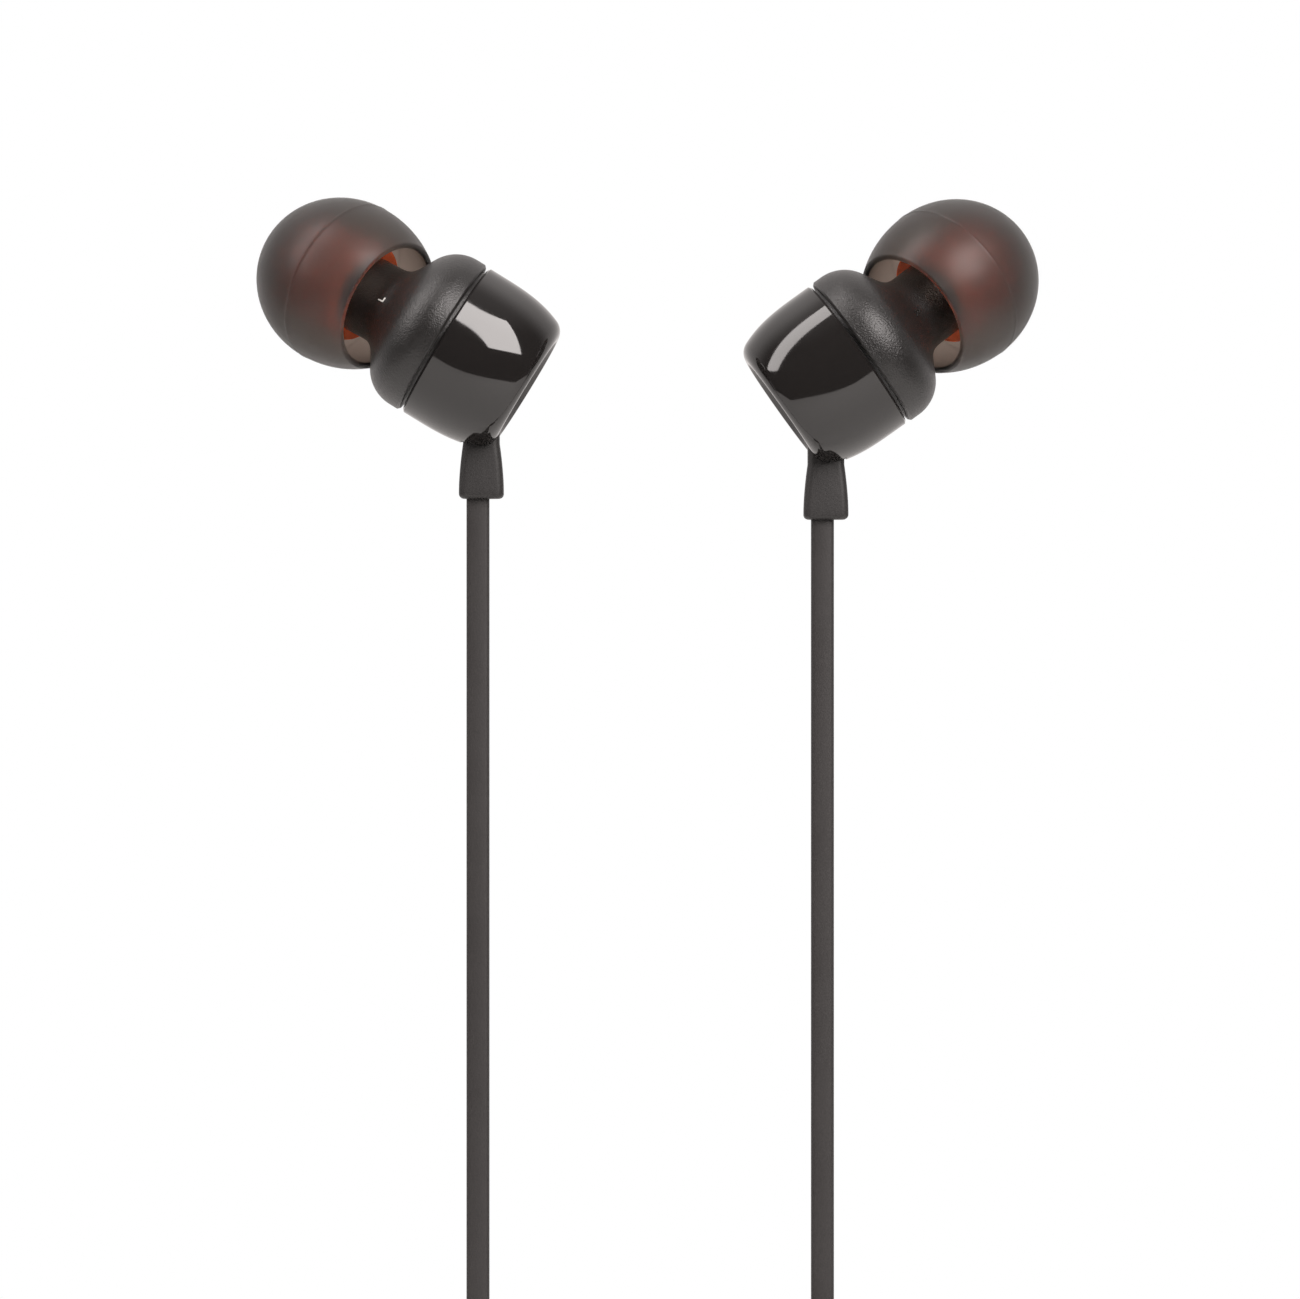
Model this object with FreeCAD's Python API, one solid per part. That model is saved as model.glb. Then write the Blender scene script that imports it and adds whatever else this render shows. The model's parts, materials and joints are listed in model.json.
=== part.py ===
import FreeCAD, Part

import math
import os

from FreeCAD import Placement, Rotation, Vector

# Wired in-ear earphones, hanging as a listener's ears would hold them.
# Millimetres, +Z up, +X from the left earbud to the right one, +Y away from the viewer.
# The origin is the middle of the line between the centres of the two ear tips.

# ---------------------------------------------------------------- driving dimensions
# How each earbud hangs: centre of its seam, turn of its axis about +Y, and its cord's place.
EARBUDS = {
    "left": {"seam": Vector(-14.24, -3.67, -4.11), "turn": -58.4, "cord_x": -11.89,
             "relief_end_z": -15.30, "lower_side": -1},
    "right": {"seam": Vector(14.81, -3.67, -5.13), "turn": 54.5, "cord_x": 12.22,
              "relief_end_z": -16.76, "lower_side": 1},
}

# Housing, in its own frame: +Z along its axis towards the ear, z = 0 at the seam.
FRONT_RADIUS = 5.90
REAR_RADIUS = 5.86
SEAM_GAP = 0.24
SEAM_CHAMFER = 0.15
SHOULDER_START = 0.90
SHOULDER_ROUND = 2.83
REAR_LENGTH = 6.79
BARREL_START = 2.60
BARREL_ROUND = 9.10
REAR_EDGE_ROUND = 1.19
REAR_EDGE_ANGLE = 22.3
SPIGOT_RADIUS = 5.35
SPIGOT_LENGTH = 1.20
FIT_GAP = 0.05
DRIVER_RADIUS = 4.80
DRIVER_SEAT_Z = 1.75
FRONT_CAVITY_RADIUS = 3.60
FRONT_CAVITY_Z = 2.60
CAVITY_RADIUS = 4.95
WALL = 0.90

# Nozzle, on an axis that leans away from the housing's axis.
NOZZLE_LEAN = 30.0
NOZZLE_ROLL = 3.7
NOZZLE_PIVOT = 2.00
NECK_FOOT = (4.20, 0.60)
NECK_MIDDLE = (3.20, 1.90)
NECK_RADIUS = 2.80
NECK_TOP = 3.60
NECK_END = 5.35
TUBE_RADIUS = 2.35
BARB_RADIUS = 2.55
BARB_START = 8.20
BARB_FULL = (8.50, 9.00)
TUBE_END = 10.30
TUBE_END_RADIUS = 2.25
SOUND_BORE = 1.70
SCREEN_RADIUS = 1.95
SCREEN_THICKNESS = 0.20
SCREEN_FIT = 0.02

# Ear tip, about its own centre on the nozzle's axis.
TIP_CENTRE = 7.35
TIP_RADIUS = 5.93
TIP_FRONT_LENGTH = 6.35
SKIRT_LENGTH = 4.10
SKIRT_RADIUS = 4.83
DOME_WALL = 0.45
CORE_RADIUS = 3.65
CORE_BORE = BARB_RADIUS + FIT_GAP
CORE_REAR = -1.95
CORE_FRONT = 4.20
TIP_BORE = 2.10
LIP_ROUND = 0.55
RIM_BULGE = 0.12
CORE_CHAMFER = 0.15

# Moulded strain relief at each housing.
RELIEF_TOP_WIDTH = 2.55
RELIEF_TOP_DEPTH = 1.90
RELIEF_END_WIDTH = 3.12
RELIEF_END_DEPTH = 2.20
RELIEF_OFFSET = 0.24
RELIEF_TOP_BELOW_SEAM = 5.80
RELIEF_SLOT_GAP = 0.14
KNOT_RADIUS = 0.78
WIRE_RADIUS = 0.18
WIRE_START_Y = 0.35
PAD_PLACE = (3.90, 0.80)

# Flat cords: width and thickness.
LEG_WIDTH = 1.60
LEG_THICKNESS = 0.95
TRUNK_WIDTH = 2.10
TRUNK_THICKNESS = 1.05
CORD_Y = EARBUDS["left"]["seam"].y

# In-line remote on the right leg.
REMOTE_TOP_Z = -74.50
REMOTE_LENGTH = 26.00
REMOTE_WIDTH = 5.60
REMOTE_FRONT = 2.10
REMOTE_BACK = 1.90
REMOTE_WALL = 0.70
BUTTON_WIDTH = 3.00
BUTTON_LENGTH = 8.00
BUTTON_PROUD = 0.45
BUTTON_GAP = 0.10
SWITCH_GAP = 0.45

# Put-away coil: a ring about the Y axis, hung from both legs and held by a tie.
COIL_CENTRE = Vector(2.11, 0.0, -129.60)
LEG_OUTER_TURN = 14.00
LEG_INNER_TURN = 11.50
LEG_PITCH_Y = 1.75
TRUNK_OUTER_TURN = 13.85
TRUNK_INNER_TURN = 10.40
TRUNK_FIRST_Y = 0.03
TRUNK_COLUMN_PITCH = 2.20
TRUNK_COLUMNS = 3

# Moulded splitter, on a chord inside the coil's ring.
SPLITTER_X = COIL_CENTRE.x + 7.00
SPLITTER_LOW_Z = COIL_CENTRE.z - 4.40
SPLITTER_HIGH_Z = COIL_CENTRE.z + 3.40
SPLITTER_Y = CORD_Y + LEG_PITCH_Y / 2

# Plug, hanging under the coil: 3.5 mm, four poles.
PLUG_X = COIL_CENTRE.x - TRUNK_OUTER_TURN
PLUG_Y = TRUNK_FIRST_Y + (TRUNK_COLUMNS - 1) * TRUNK_COLUMN_PITCH
PLUG_RELIEF_TOP_Z = COIL_CENTRE.z - 12.50
PLUG_RELIEF_LENGTH = 7.00
PLUG_GRIP_LENGTH = 14.50
PLUG_GRIP_RADIUS = 3.60
PIN_RADIUS = 1.75
PIN_LENGTH = 14.00
PIN_CORE_RADIUS = 1.10
POLE_LENGTH = 2.10
COLLAR_LENGTH = 0.50
SLEEVE_LENGTH = 4.50


# ---------------------------------------------------------------- helpers
def arc_point(centre, radius, degrees):
    """A point (radius, height) on a circle about centre, in the plane of a turned outline."""
    angle = math.radians(degrees)
    return (centre[0] + radius * math.cos(angle), centre[1] + radius * math.sin(angle))


def flat(point):
    """A turned outline's point (radius, height) as a vector in the XZ plane."""
    return Vector(point[0], 0, point[1])


def outline_edges(outline):
    """Edges through corners (radius, height). A pair of corners is an arc: through, end."""
    edges = []
    here = flat(outline[0])
    for item in outline[1:]:
        if isinstance(item[0], tuple):
            through = flat(item[0])
            end = flat(item[1])
            edges.append(Part.Arc(here, through, end).toShape())
        else:
            end = flat(item)
            edges.append(Part.makeLine(here, end))
        here = end
    return edges


def turned(edges):
    """The solid that a closed outline in the XZ plane sweeps about the Z axis."""
    face = Part.Face(Part.Wire(Part.__sortEdges__(edges)))
    return face.revolve(Vector(0, 0, 0), Vector(0, 0, 1), 360)


def lathe(outline):
    """A turned solid from an outline of (radius, height) corners and arcs, closed by a line."""
    return turned(outline_edges(outline + [outline[0]]))


def disc(radius, low, high):
    """A round disc about Z."""
    return Part.makeCylinder(radius, high - low, Vector(0, 0, low))


def ring(outer, inner, low, high):
    """A round ring about Z."""
    return disc(outer, low, high).cut(disc(inner, low, high))


def block(size_x, size_y, low, high, centre=Vector(0, 0, 0)):
    """A block, centred in X and Y."""
    corner = Vector(centre.x - size_x / 2, centre.y - size_y / 2, low)
    return Part.makeBox(size_x, size_y, high - low, corner)


def rod(start, end, radius):
    """A straight round rod from start to end."""
    along = end - start
    return Part.makeCylinder(radius, along.Length, start, along)


def rounded_rectangle(width, depth, corner, centre):
    """A closed wire, level in Z, with its width along X and its depth along Y."""
    half_x = width / 2 - corner
    half_y = depth / 2 - corner
    edges = []
    for quarter, (side_x, side_y) in enumerate([(1, 1), (-1, 1), (-1, -1), (1, -1)]):
        pivot = centre + Vector(side_x * half_x, side_y * half_y, 0)
        circle = Part.Circle(pivot, Vector(0, 0, 1), corner)
        first = quarter * math.pi / 2
        edges.append(Part.Arc(circle, first, first + math.pi / 2).toShape())
    closed = []
    for index, edge in enumerate(edges):
        following = edges[(index + 1) % len(edges)]
        closed.append(edge)
        closed.append(Part.makeLine(edge.Vertexes[-1].Point, following.Vertexes[0].Point))
    return Part.Wire(closed)


def moulding(sections):
    """A straight-sided solid through level sections (width, depth, corner, centre)."""
    wires = [rounded_rectangle(*section) for section in sections]
    return Part.makeLoft(wires, True, True)


def ellipse_edge(radius, length, one_radius, other_radius, towards):
    """An arc in the XZ plane of an ellipse about the origin, between two of its radii.

    length is the half axis along Z, and towards is +1 above the centre and -1 below it.
    """
    ellipse = Part.Ellipse(Vector(0, 0, towards * length), Vector(radius, 0, 0), Vector(0, 0, 0))
    low, high = sorted(math.asin(value / radius) for value in (one_radius, other_radius))
    return Part.ArcOfEllipse(ellipse, low, high).toShape()


def height_on_ellipse(radius, length, at_radius):
    """Height above the centre of an ellipse at a given radius."""
    return length * math.sqrt(1 - (at_radius / radius) ** 2)


def length_of_ellipse(radius, at_radius, height):
    """Half axis of the ellipse of this radius that passes through (at_radius, height)."""
    return height / math.sqrt(1 - (at_radius / radius) ** 2)


def housing_place(side):
    """Places a piece of the housing's frame in the part's frame."""
    bud = EARBUDS[side]
    return Placement(bud["seam"], Rotation(Vector(0, 1, 0), bud["turn"]))


def nozzle_in_housing():
    """Places a piece of the nozzle's frame in the housing's frame."""
    lean = Rotation(Vector(1, 0, 0), -NOZZLE_LEAN)
    roll = Rotation(Vector(0, 0, 1), NOZZLE_ROLL)
    return Placement(Vector(0, 0, NOZZLE_PIVOT), roll.multiply(lean))


def nozzle_place(side):
    """Places a piece of the nozzle's frame in the part's frame."""
    return housing_place(side).multiply(nozzle_in_housing())


def placed(shape, placement):
    """A copy of a shape, moved by a placement."""
    moved = shape.copy()
    moved.Placement = placement.multiply(shape.Placement)
    return moved


NODES = {}


def keep(name, shape):
    """Keeps one node of the assembly, to be written at the end."""
    NODES[name] = shape


# ---------------------------------------------------------------- housing shells
def rear_outline():
    """Outer outline of the rear shell, from its back face to the seam."""
    barrel_centre = (REAR_RADIUS - BARREL_ROUND, -BARREL_START)
    barrel_end = arc_point(barrel_centre, BARREL_ROUND, -REAR_EDGE_ANGLE)
    face_radius = barrel_end[0] - REAR_EDGE_ROUND * math.cos(math.radians(REAR_EDGE_ANGLE))
    edge_centre = (face_radius, -REAR_LENGTH + REAR_EDGE_ROUND)
    return [
        (0, -REAR_LENGTH),
        (face_radius, -REAR_LENGTH),
        (arc_point(edge_centre, REAR_EDGE_ROUND, -(90 + REAR_EDGE_ANGLE) / 2), barrel_end),
        (arc_point(barrel_centre, BARREL_ROUND, -REAR_EDGE_ANGLE / 2), (REAR_RADIUS, -BARREL_START)),
        (REAR_RADIUS, -SEAM_GAP / 2 - SEAM_CHAMFER),
        (REAR_RADIUS - SEAM_CHAMFER, -SEAM_GAP / 2),
    ]


def rear_housing(side):
    """Glossy rear shell: a barrel with a socket for the front's spigot, notched for the relief."""
    socket_radius = SPIGOT_RADIUS + FIT_GAP
    inside = [
        (socket_radius, -SEAM_GAP / 2),
        (socket_radius, -SPIGOT_LENGTH - FIT_GAP),
        (CAVITY_RADIUS, -SPIGOT_LENGTH - FIT_GAP),
        (CAVITY_RADIUS, -REAR_LENGTH + 2 * WALL),
        (CAVITY_RADIUS - WALL, -REAR_LENGTH + WALL),
        (0, -REAR_LENGTH + WALL),
    ]
    shell = placed(lathe(rear_outline() + inside), housing_place(side))
    bud = EARBUDS[side]
    slot_width = RELIEF_TOP_WIDTH + 2 * RELIEF_SLOT_GAP
    slot_depth = RELIEF_TOP_DEPTH + 2 * RELIEF_SLOT_GAP
    centre = Vector(bud["cord_x"] + RELIEF_OFFSET, CORD_Y, 0)
    top = bud["seam"].z - RELIEF_TOP_BELOW_SEAM + RELIEF_SLOT_GAP
    return shell.cut(block(slot_width, slot_depth, bud["relief_end_z"], top, centre))


def front_housing(side):
    """Matt front shell: shoulder, leaning neck, barbed nozzle tube and the spigot behind."""
    shoulder_centre = (FRONT_RADIUS - SHOULDER_ROUND, SHOULDER_START)
    shoulder_top = arc_point(shoulder_centre, SHOULDER_ROUND, 90)
    body = lathe([
        (0, SEAM_GAP / 2),
        (FRONT_RADIUS - SEAM_CHAMFER, SEAM_GAP / 2),
        (FRONT_RADIUS, SEAM_GAP / 2 + SEAM_CHAMFER),
        (FRONT_RADIUS, SHOULDER_START),
        (arc_point(shoulder_centre, SHOULDER_ROUND, 45), shoulder_top),
        (0, shoulder_top[1]),
    ])
    nozzle_frame = nozzle_in_housing()
    nozzle = lathe([
        (0, NECK_FOOT[1]),
        NECK_FOOT,
        (NECK_MIDDLE, (NECK_RADIUS, NECK_TOP)),
        (NECK_RADIUS, NECK_END),
        (TUBE_RADIUS, NECK_END),
        (TUBE_RADIUS, BARB_START),
        (BARB_RADIUS, BARB_FULL[0]),
        (BARB_RADIUS, BARB_FULL[1]),
        (TUBE_END_RADIUS, TUBE_END),
        (0, TUBE_END),
    ])
    bore = disc(SOUND_BORE, 0, TUBE_END + 1)
    screen_seat = disc(SCREEN_RADIUS + SCREEN_FIT, TUBE_END - SCREEN_THICKNESS, TUBE_END + 1)
    seat_radius = DRIVER_RADIUS + FIT_GAP
    below_body = SEAM_GAP / 2 - 1
    cavity = lathe([
        (0, below_body),
        (seat_radius, below_body),
        (seat_radius, DRIVER_SEAT_Z),
        (FRONT_CAVITY_RADIUS, FRONT_CAVITY_Z),
        (0, FRONT_CAVITY_Z),
    ])
    into_body = 0.2
    spigot = ring(SPIGOT_RADIUS, seat_radius, -SPIGOT_LENGTH, SEAM_GAP / 2 + into_body)
    shell = body.fuse(placed(nozzle, nozzle_frame)).cut(cavity)
    shell = shell.cut(placed(bore, nozzle_frame)).cut(placed(screen_seat, nozzle_frame))
    return placed(shell.fuse(spigot).removeSplitter(), housing_place(side))


# ---------------------------------------------------------------- ear tip
def ear_tip_dome():
    """Soft outer dome and skirt, open at the back, closed round the sound bore in front."""
    rim_inner = SKIRT_RADIUS - DOME_WALL
    inner_radius = TIP_RADIUS - DOME_WALL
    inner_front = length_of_ellipse(inner_radius, CORE_RADIUS, CORE_FRONT)
    inner_rear = length_of_ellipse(inner_radius, rim_inner, SKIRT_LENGTH)
    outer_rear = length_of_ellipse(TIP_RADIUS, SKIRT_RADIUS, SKIRT_LENGTH)
    lip_radius = TIP_BORE + LIP_ROUND
    lip_inset = LIP_ROUND * (1 - math.cos(math.radians(45)))
    lip_height = height_on_ellipse(TIP_RADIUS, TIP_FRONT_LENGTH, lip_radius)
    edges = outline_edges([
        (lip_radius, lip_height),
        ((TIP_BORE + lip_inset, lip_height - lip_inset), (TIP_BORE, lip_height - LIP_ROUND)),
        (TIP_BORE, CORE_FRONT),
        (CORE_RADIUS, CORE_FRONT),
    ])
    edges.append(ellipse_edge(inner_radius, inner_front, CORE_RADIUS, inner_radius, 1))
    edges.append(ellipse_edge(inner_radius, inner_rear, inner_radius, rim_inner, -1))
    rim_middle = (SKIRT_RADIUS - DOME_WALL / 2, -SKIRT_LENGTH - RIM_BULGE)
    edges += outline_edges([(rim_inner, -SKIRT_LENGTH), (rim_middle, (SKIRT_RADIUS, -SKIRT_LENGTH))])
    edges.append(ellipse_edge(TIP_RADIUS, outer_rear, SKIRT_RADIUS, TIP_RADIUS, -1))
    edges.append(ellipse_edge(TIP_RADIUS, TIP_FRONT_LENGTH, TIP_RADIUS, lip_radius, 1))
    return turned(edges)


def ear_tip_core():
    """Firm coloured sleeve inside the dome that grips the nozzle tube."""
    return lathe([
        (CORE_BORE, CORE_REAR),
        (CORE_RADIUS - CORE_CHAMFER, CORE_REAR),
        (CORE_RADIUS, CORE_REAR + CORE_CHAMFER),
        (CORE_RADIUS, CORE_FRONT),
        (CORE_BORE, CORE_FRONT),
    ])


# ---------------------------------------------------------------- driver
YOKE_RADIUS = 2.98
YOKE_BORE = 2.62
MAGNET_RADIUS = 2.00
COIL_INNER = 2.25
COIL_OUTER = 2.45
FRAME_FLOOR_Z = -0.40
FRAME_FRONT_Z = 1.50
BOARD_Z = -0.70
DIAPHRAGM_TOP_Z = 1.25
DIAPHRAGM_ROUND = 6.90
DIAPHRAGM_RIM = 4.38
SURROUND_MIDDLE = 3.40
SURROUND_RISE = 0.30
FILM = 0.10
FRAME_INNER = 4.40
VENT_RADIUS = 0.40
VENT_CIRCLE = 3.70
CAP_HOLE_RADIUS = 0.45
CAP_HOLE_CIRCLE = 2.60
CAP_THICKNESS = 0.20
YOKE_TOP_Z = 0.10
YOKE_FLOOR_Z = -1.10
YOKE_BACK_Z = -1.50
MAGNET_TOP_Z = -0.30
COIL_Z = (-0.45, 0.60)
PAD_RADIUS = 4.60
PAD_INNER = 3.10
FELT_THICKNESS = 0.15


def drilled(shape, count, circle, radius, first_degrees):
    """The shape with a circle of round holes through it, along Z."""
    deep = 5.0
    for index in range(count):
        angle = math.radians(first_degrees + 360 * index / count)
        centre = Vector(circle * math.cos(angle), circle * math.sin(angle), 0)
        shape = shape.cut(disc(radius, -deep, deep).translated(centre))
    return shape


def diaphragm():
    """Thin domed film with a rolled surround."""
    dome_centre = (0, DIAPHRAGM_TOP_Z - DIAPHRAGM_ROUND)
    rim_angle = math.degrees(math.acos(COIL_OUTER / DIAPHRAGM_ROUND))
    middle_angle = (90 + rim_angle) / 2
    inside = DIAPHRAGM_ROUND - FILM
    rim = arc_point(dome_centre, DIAPHRAGM_ROUND, rim_angle)
    crest = rim[1] + SURROUND_RISE
    return lathe([
        (0, DIAPHRAGM_TOP_Z),
        (arc_point(dome_centre, DIAPHRAGM_ROUND, middle_angle), rim),
        ((SURROUND_MIDDLE, crest), (DIAPHRAGM_RIM, rim[1])),
        (DIAPHRAGM_RIM, rim[1] - FILM),
        ((SURROUND_MIDDLE, crest - FILM), arc_point(dome_centre, inside, rim_angle)),
        (arc_point(dome_centre, inside, middle_angle), (0, DIAPHRAGM_TOP_Z - FILM)),
    ])


def driver_parts(lower_side):
    """The moving-coil driver, about the housing's axis, front towards +Z."""
    frame = lathe([
        (DRIVER_RADIUS, FRAME_FRONT_Z),
        (FRAME_INNER, FRAME_FRONT_Z),
        (FRAME_INNER, 0.00),
        (YOKE_RADIUS, 0.00),
        (YOKE_RADIUS, FRAME_FLOOR_Z),
        (DRIVER_RADIUS, FRAME_FLOOR_Z),
    ])
    cap = disc(DRIVER_RADIUS, FRAME_FRONT_Z, FRAME_FRONT_Z + CAP_THICKNESS)
    cap = drilled(cap, 1, 0, CAP_HOLE_RADIUS, 0)
    lower_half = Vector(lower_side * PAD_RADIUS, 0, 0)
    board = ring(PAD_RADIUS, PAD_INNER, BOARD_Z, FRAME_FLOOR_Z)
    board_area = block(2 * PAD_RADIUS, 4.4, BOARD_Z, FRAME_FLOOR_Z, lower_half)
    felt = ring(PAD_RADIUS, PAD_INNER, FRAME_FLOOR_Z - FELT_THICKNESS, FRAME_FLOOR_Z)
    felt_gap = block(2 * PAD_RADIUS, 4.6, BOARD_Z, FRAME_FLOOR_Z, lower_half)
    yoke_wall = ring(YOKE_RADIUS, YOKE_BORE, YOKE_FLOOR_Z, YOKE_TOP_Z)
    return {
        "driver_frame": drilled(frame, 4, VENT_CIRCLE, VENT_RADIUS, 45),
        "driver_cap": drilled(cap, 6, CAP_HOLE_CIRCLE, CAP_HOLE_RADIUS, 0),
        "diaphragm": diaphragm(),
        "voice_coil": ring(COIL_OUTER, COIL_INNER, *COIL_Z),
        "yoke": yoke_wall.fuse(disc(YOKE_RADIUS, YOKE_BACK_Z, YOKE_FLOOR_Z)),
        "magnet": disc(MAGNET_RADIUS, YOKE_FLOOR_Z, MAGNET_TOP_Z),
        "pole_plate": disc(MAGNET_RADIUS + 0.08, MAGNET_TOP_Z, YOKE_TOP_Z),
        "terminal_board": board.common(board_area),
        "vent_felt": felt.cut(felt_gap),
    }


# ---------------------------------------------------------------- earbuds
def cord_entry(side):
    """Relief, knot and lead wires where the cord enters the housing, in the part's frame."""
    bud = EARBUDS[side]
    end_z = bud["relief_end_z"]
    top_z = bud["seam"].z - RELIEF_TOP_BELOW_SEAM
    x = bud["cord_x"] + RELIEF_OFFSET
    relief = moulding([
        (RELIEF_END_WIDTH - 0.70, RELIEF_END_DEPTH - 0.60, 0.40, Vector(x, CORD_Y, end_z)),
        (RELIEF_END_WIDTH - 0.14, RELIEF_END_DEPTH - 0.12, 0.45, Vector(x, CORD_Y, end_z + 0.18)),
        (RELIEF_END_WIDTH, RELIEF_END_DEPTH, 0.50, Vector(x, CORD_Y, end_z + 0.50)),
        (RELIEF_TOP_WIDTH, RELIEF_TOP_DEPTH, 0.45, Vector(x, CORD_Y, end_z + 3.90)),
        (RELIEF_TOP_WIDTH, RELIEF_TOP_DEPTH, 0.45, Vector(x, CORD_Y, top_z)),
    ])
    knot_centre = Vector(bud["cord_x"], CORD_Y, top_z + KNOT_RADIUS - 0.15)
    knot = Part.makeSphere(KNOT_RADIUS, knot_centre)
    knot = knot.common(block(4, 4, top_z, top_z + 2 * KNOT_RADIUS - 0.30, knot_centre))
    place = housing_place(side)
    wires = []
    for across in (-1, 1):
        start = knot_centre + Vector(0, across * WIRE_START_Y, KNOT_RADIUS - 0.25)
        pad = place.multVec(Vector(bud["lower_side"] * PAD_PLACE[0], across * PAD_PLACE[1], BOARD_Z))
        wires.append(rod(start, pad, WIRE_RADIUS))
    return relief, knot, Part.makeCompound(wires)


def build_earbud(side):
    """Keeps every node of one earbud."""
    housing = housing_place(side)
    nozzle = nozzle_place(side)
    tip = nozzle.multiply(Placement(Vector(0, 0, TIP_CENTRE), Rotation()))
    keep(side + "_rear_housing", rear_housing(side))
    keep(side + "_front_housing", front_housing(side))
    screen = disc(SCREEN_RADIUS, TUBE_END - SCREEN_THICKNESS, TUBE_END)
    keep(side + "_nozzle_screen", placed(screen, nozzle))
    keep(side + "_ear_tip_dome", placed(ear_tip_dome(), tip))
    keep(side + "_ear_tip_core", placed(ear_tip_core(), tip))
    for name, shape in driver_parts(EARBUDS[side]["lower_side"]).items():
        keep(side + "_" + name, placed(shape, housing))
    relief, knot, wires = cord_entry(side)
    keep(side + "_strain_relief", relief)
    keep(side + "_cord_knot", knot)
    keep(side + "_lead_wires", wires)
    axis = nozzle.Rotation.multVec(Vector(0, 0, 1))
    centre = tip.multVec(Vector(0, 0, 0))
    print(side, "tip centre", [round(v, 3) for v in centre], "axis", [round(v, 5) for v in axis])


# ---------------------------------------------------------------- cords
def rounded_route(points):
    """Wire along points: straight runs joined by tangent arcs. Prints the radii of the arcs."""
    edges = []
    here = points[0]
    radii = []
    for before, corner, after in zip(points, points[1:], points[2:]):
        back = (before - corner).normalize()
        ahead = (after - corner).normalize()
        half_turn = (math.pi - back.getAngle(ahead)) / 2
        shorter = min(corner.distanceToPoint(before), corner.distanceToPoint(after))
        reach = 0.45 * shorter
        radius = reach / math.tan(half_turn)
        start = corner + back * reach
        end = corner + ahead * reach
        middle_way = (back + ahead).normalize()
        middle = corner + middle_way * (radius / math.cos(half_turn) - radius)
        edges.append(Part.makeLine(here, start))
        edges.append(Part.Arc(start, middle, end).toShape())
        here = end
        radii.append(round(radius, 1))
    edges.append(Part.makeLine(here, points[-1]))
    print("  radii", radii)
    return Part.Wire(edges)


def flat_cord(name, points, width, thickness):
    """A flat cord along a route, its width kept along Y."""
    path = rounded_route(points) if len(points) > 2 else Part.Wire(Part.makeLine(*points))
    along = (points[1] - points[0]).normalize()
    side = Vector(0, 1, 0)
    face_way = along.cross(side).normalize()
    side = face_way.cross(along).normalize()
    corners = []
    for u, v in ((1, 1), (-1, 1), (-1, -1), (1, -1)):
        corners.append(points[0] + side * (u * width / 2) + face_way * (v * thickness / 2))
    section = Part.makePolygon(corners + corners[:1])
    sweep = Part.BRepOffsetAPI.MakePipeShell(path)
    sweep.setBiNormalMode(Vector(0, 1, 0))
    sweep.add(section)
    sweep.build()
    sweep.makeSolid()
    solid = sweep.shape()
    expected = width * thickness * path.Length
    print(name, "length", round(path.Length, 1), "volume ratio", round(solid.Volume / expected, 3))
    return solid


def hanging_leg(cord_x, top_z, low_z):
    """The straight, hanging stretch of a leg, its flat side to the front."""
    return block(LEG_WIDTH, LEG_THICKNESS, low_z, top_z, Vector(cord_x, CORD_Y, 0))


def in_coil(x, y, z):
    """A point given about the coil's centre in X and Z, and at y."""
    return COIL_CENTRE + Vector(x, y, z)


def coil_ring(outer_turn, inner_turn, thickness, low_y, high_y):
    """Outer shape of the wound turns between two turn radii."""
    outer = outer_turn + thickness / 2 + 0.03
    inner = inner_turn - thickness / 2 - 0.03
    along = Vector(0, 1, 0)
    base = COIL_CENTRE + Vector(0, low_y, 0)
    solid = Part.makeCylinder(outer, high_y - low_y, base, along)
    return solid.cut(Part.makeCylinder(inner, high_y - low_y, base, along))


def leg_into_splitter(y):
    """Route of a leg from its last turn up into the splitter."""
    low = SPLITTER_LOW_Z - COIL_CENTRE.z
    return [in_coil(-0.6, y, -11.5), in_coil(2.6, y, -11.5), in_coil(5.4, y, -10.0),
            in_coil(7.0, y, -7.3), in_coil(7.0, y, low)]


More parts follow.
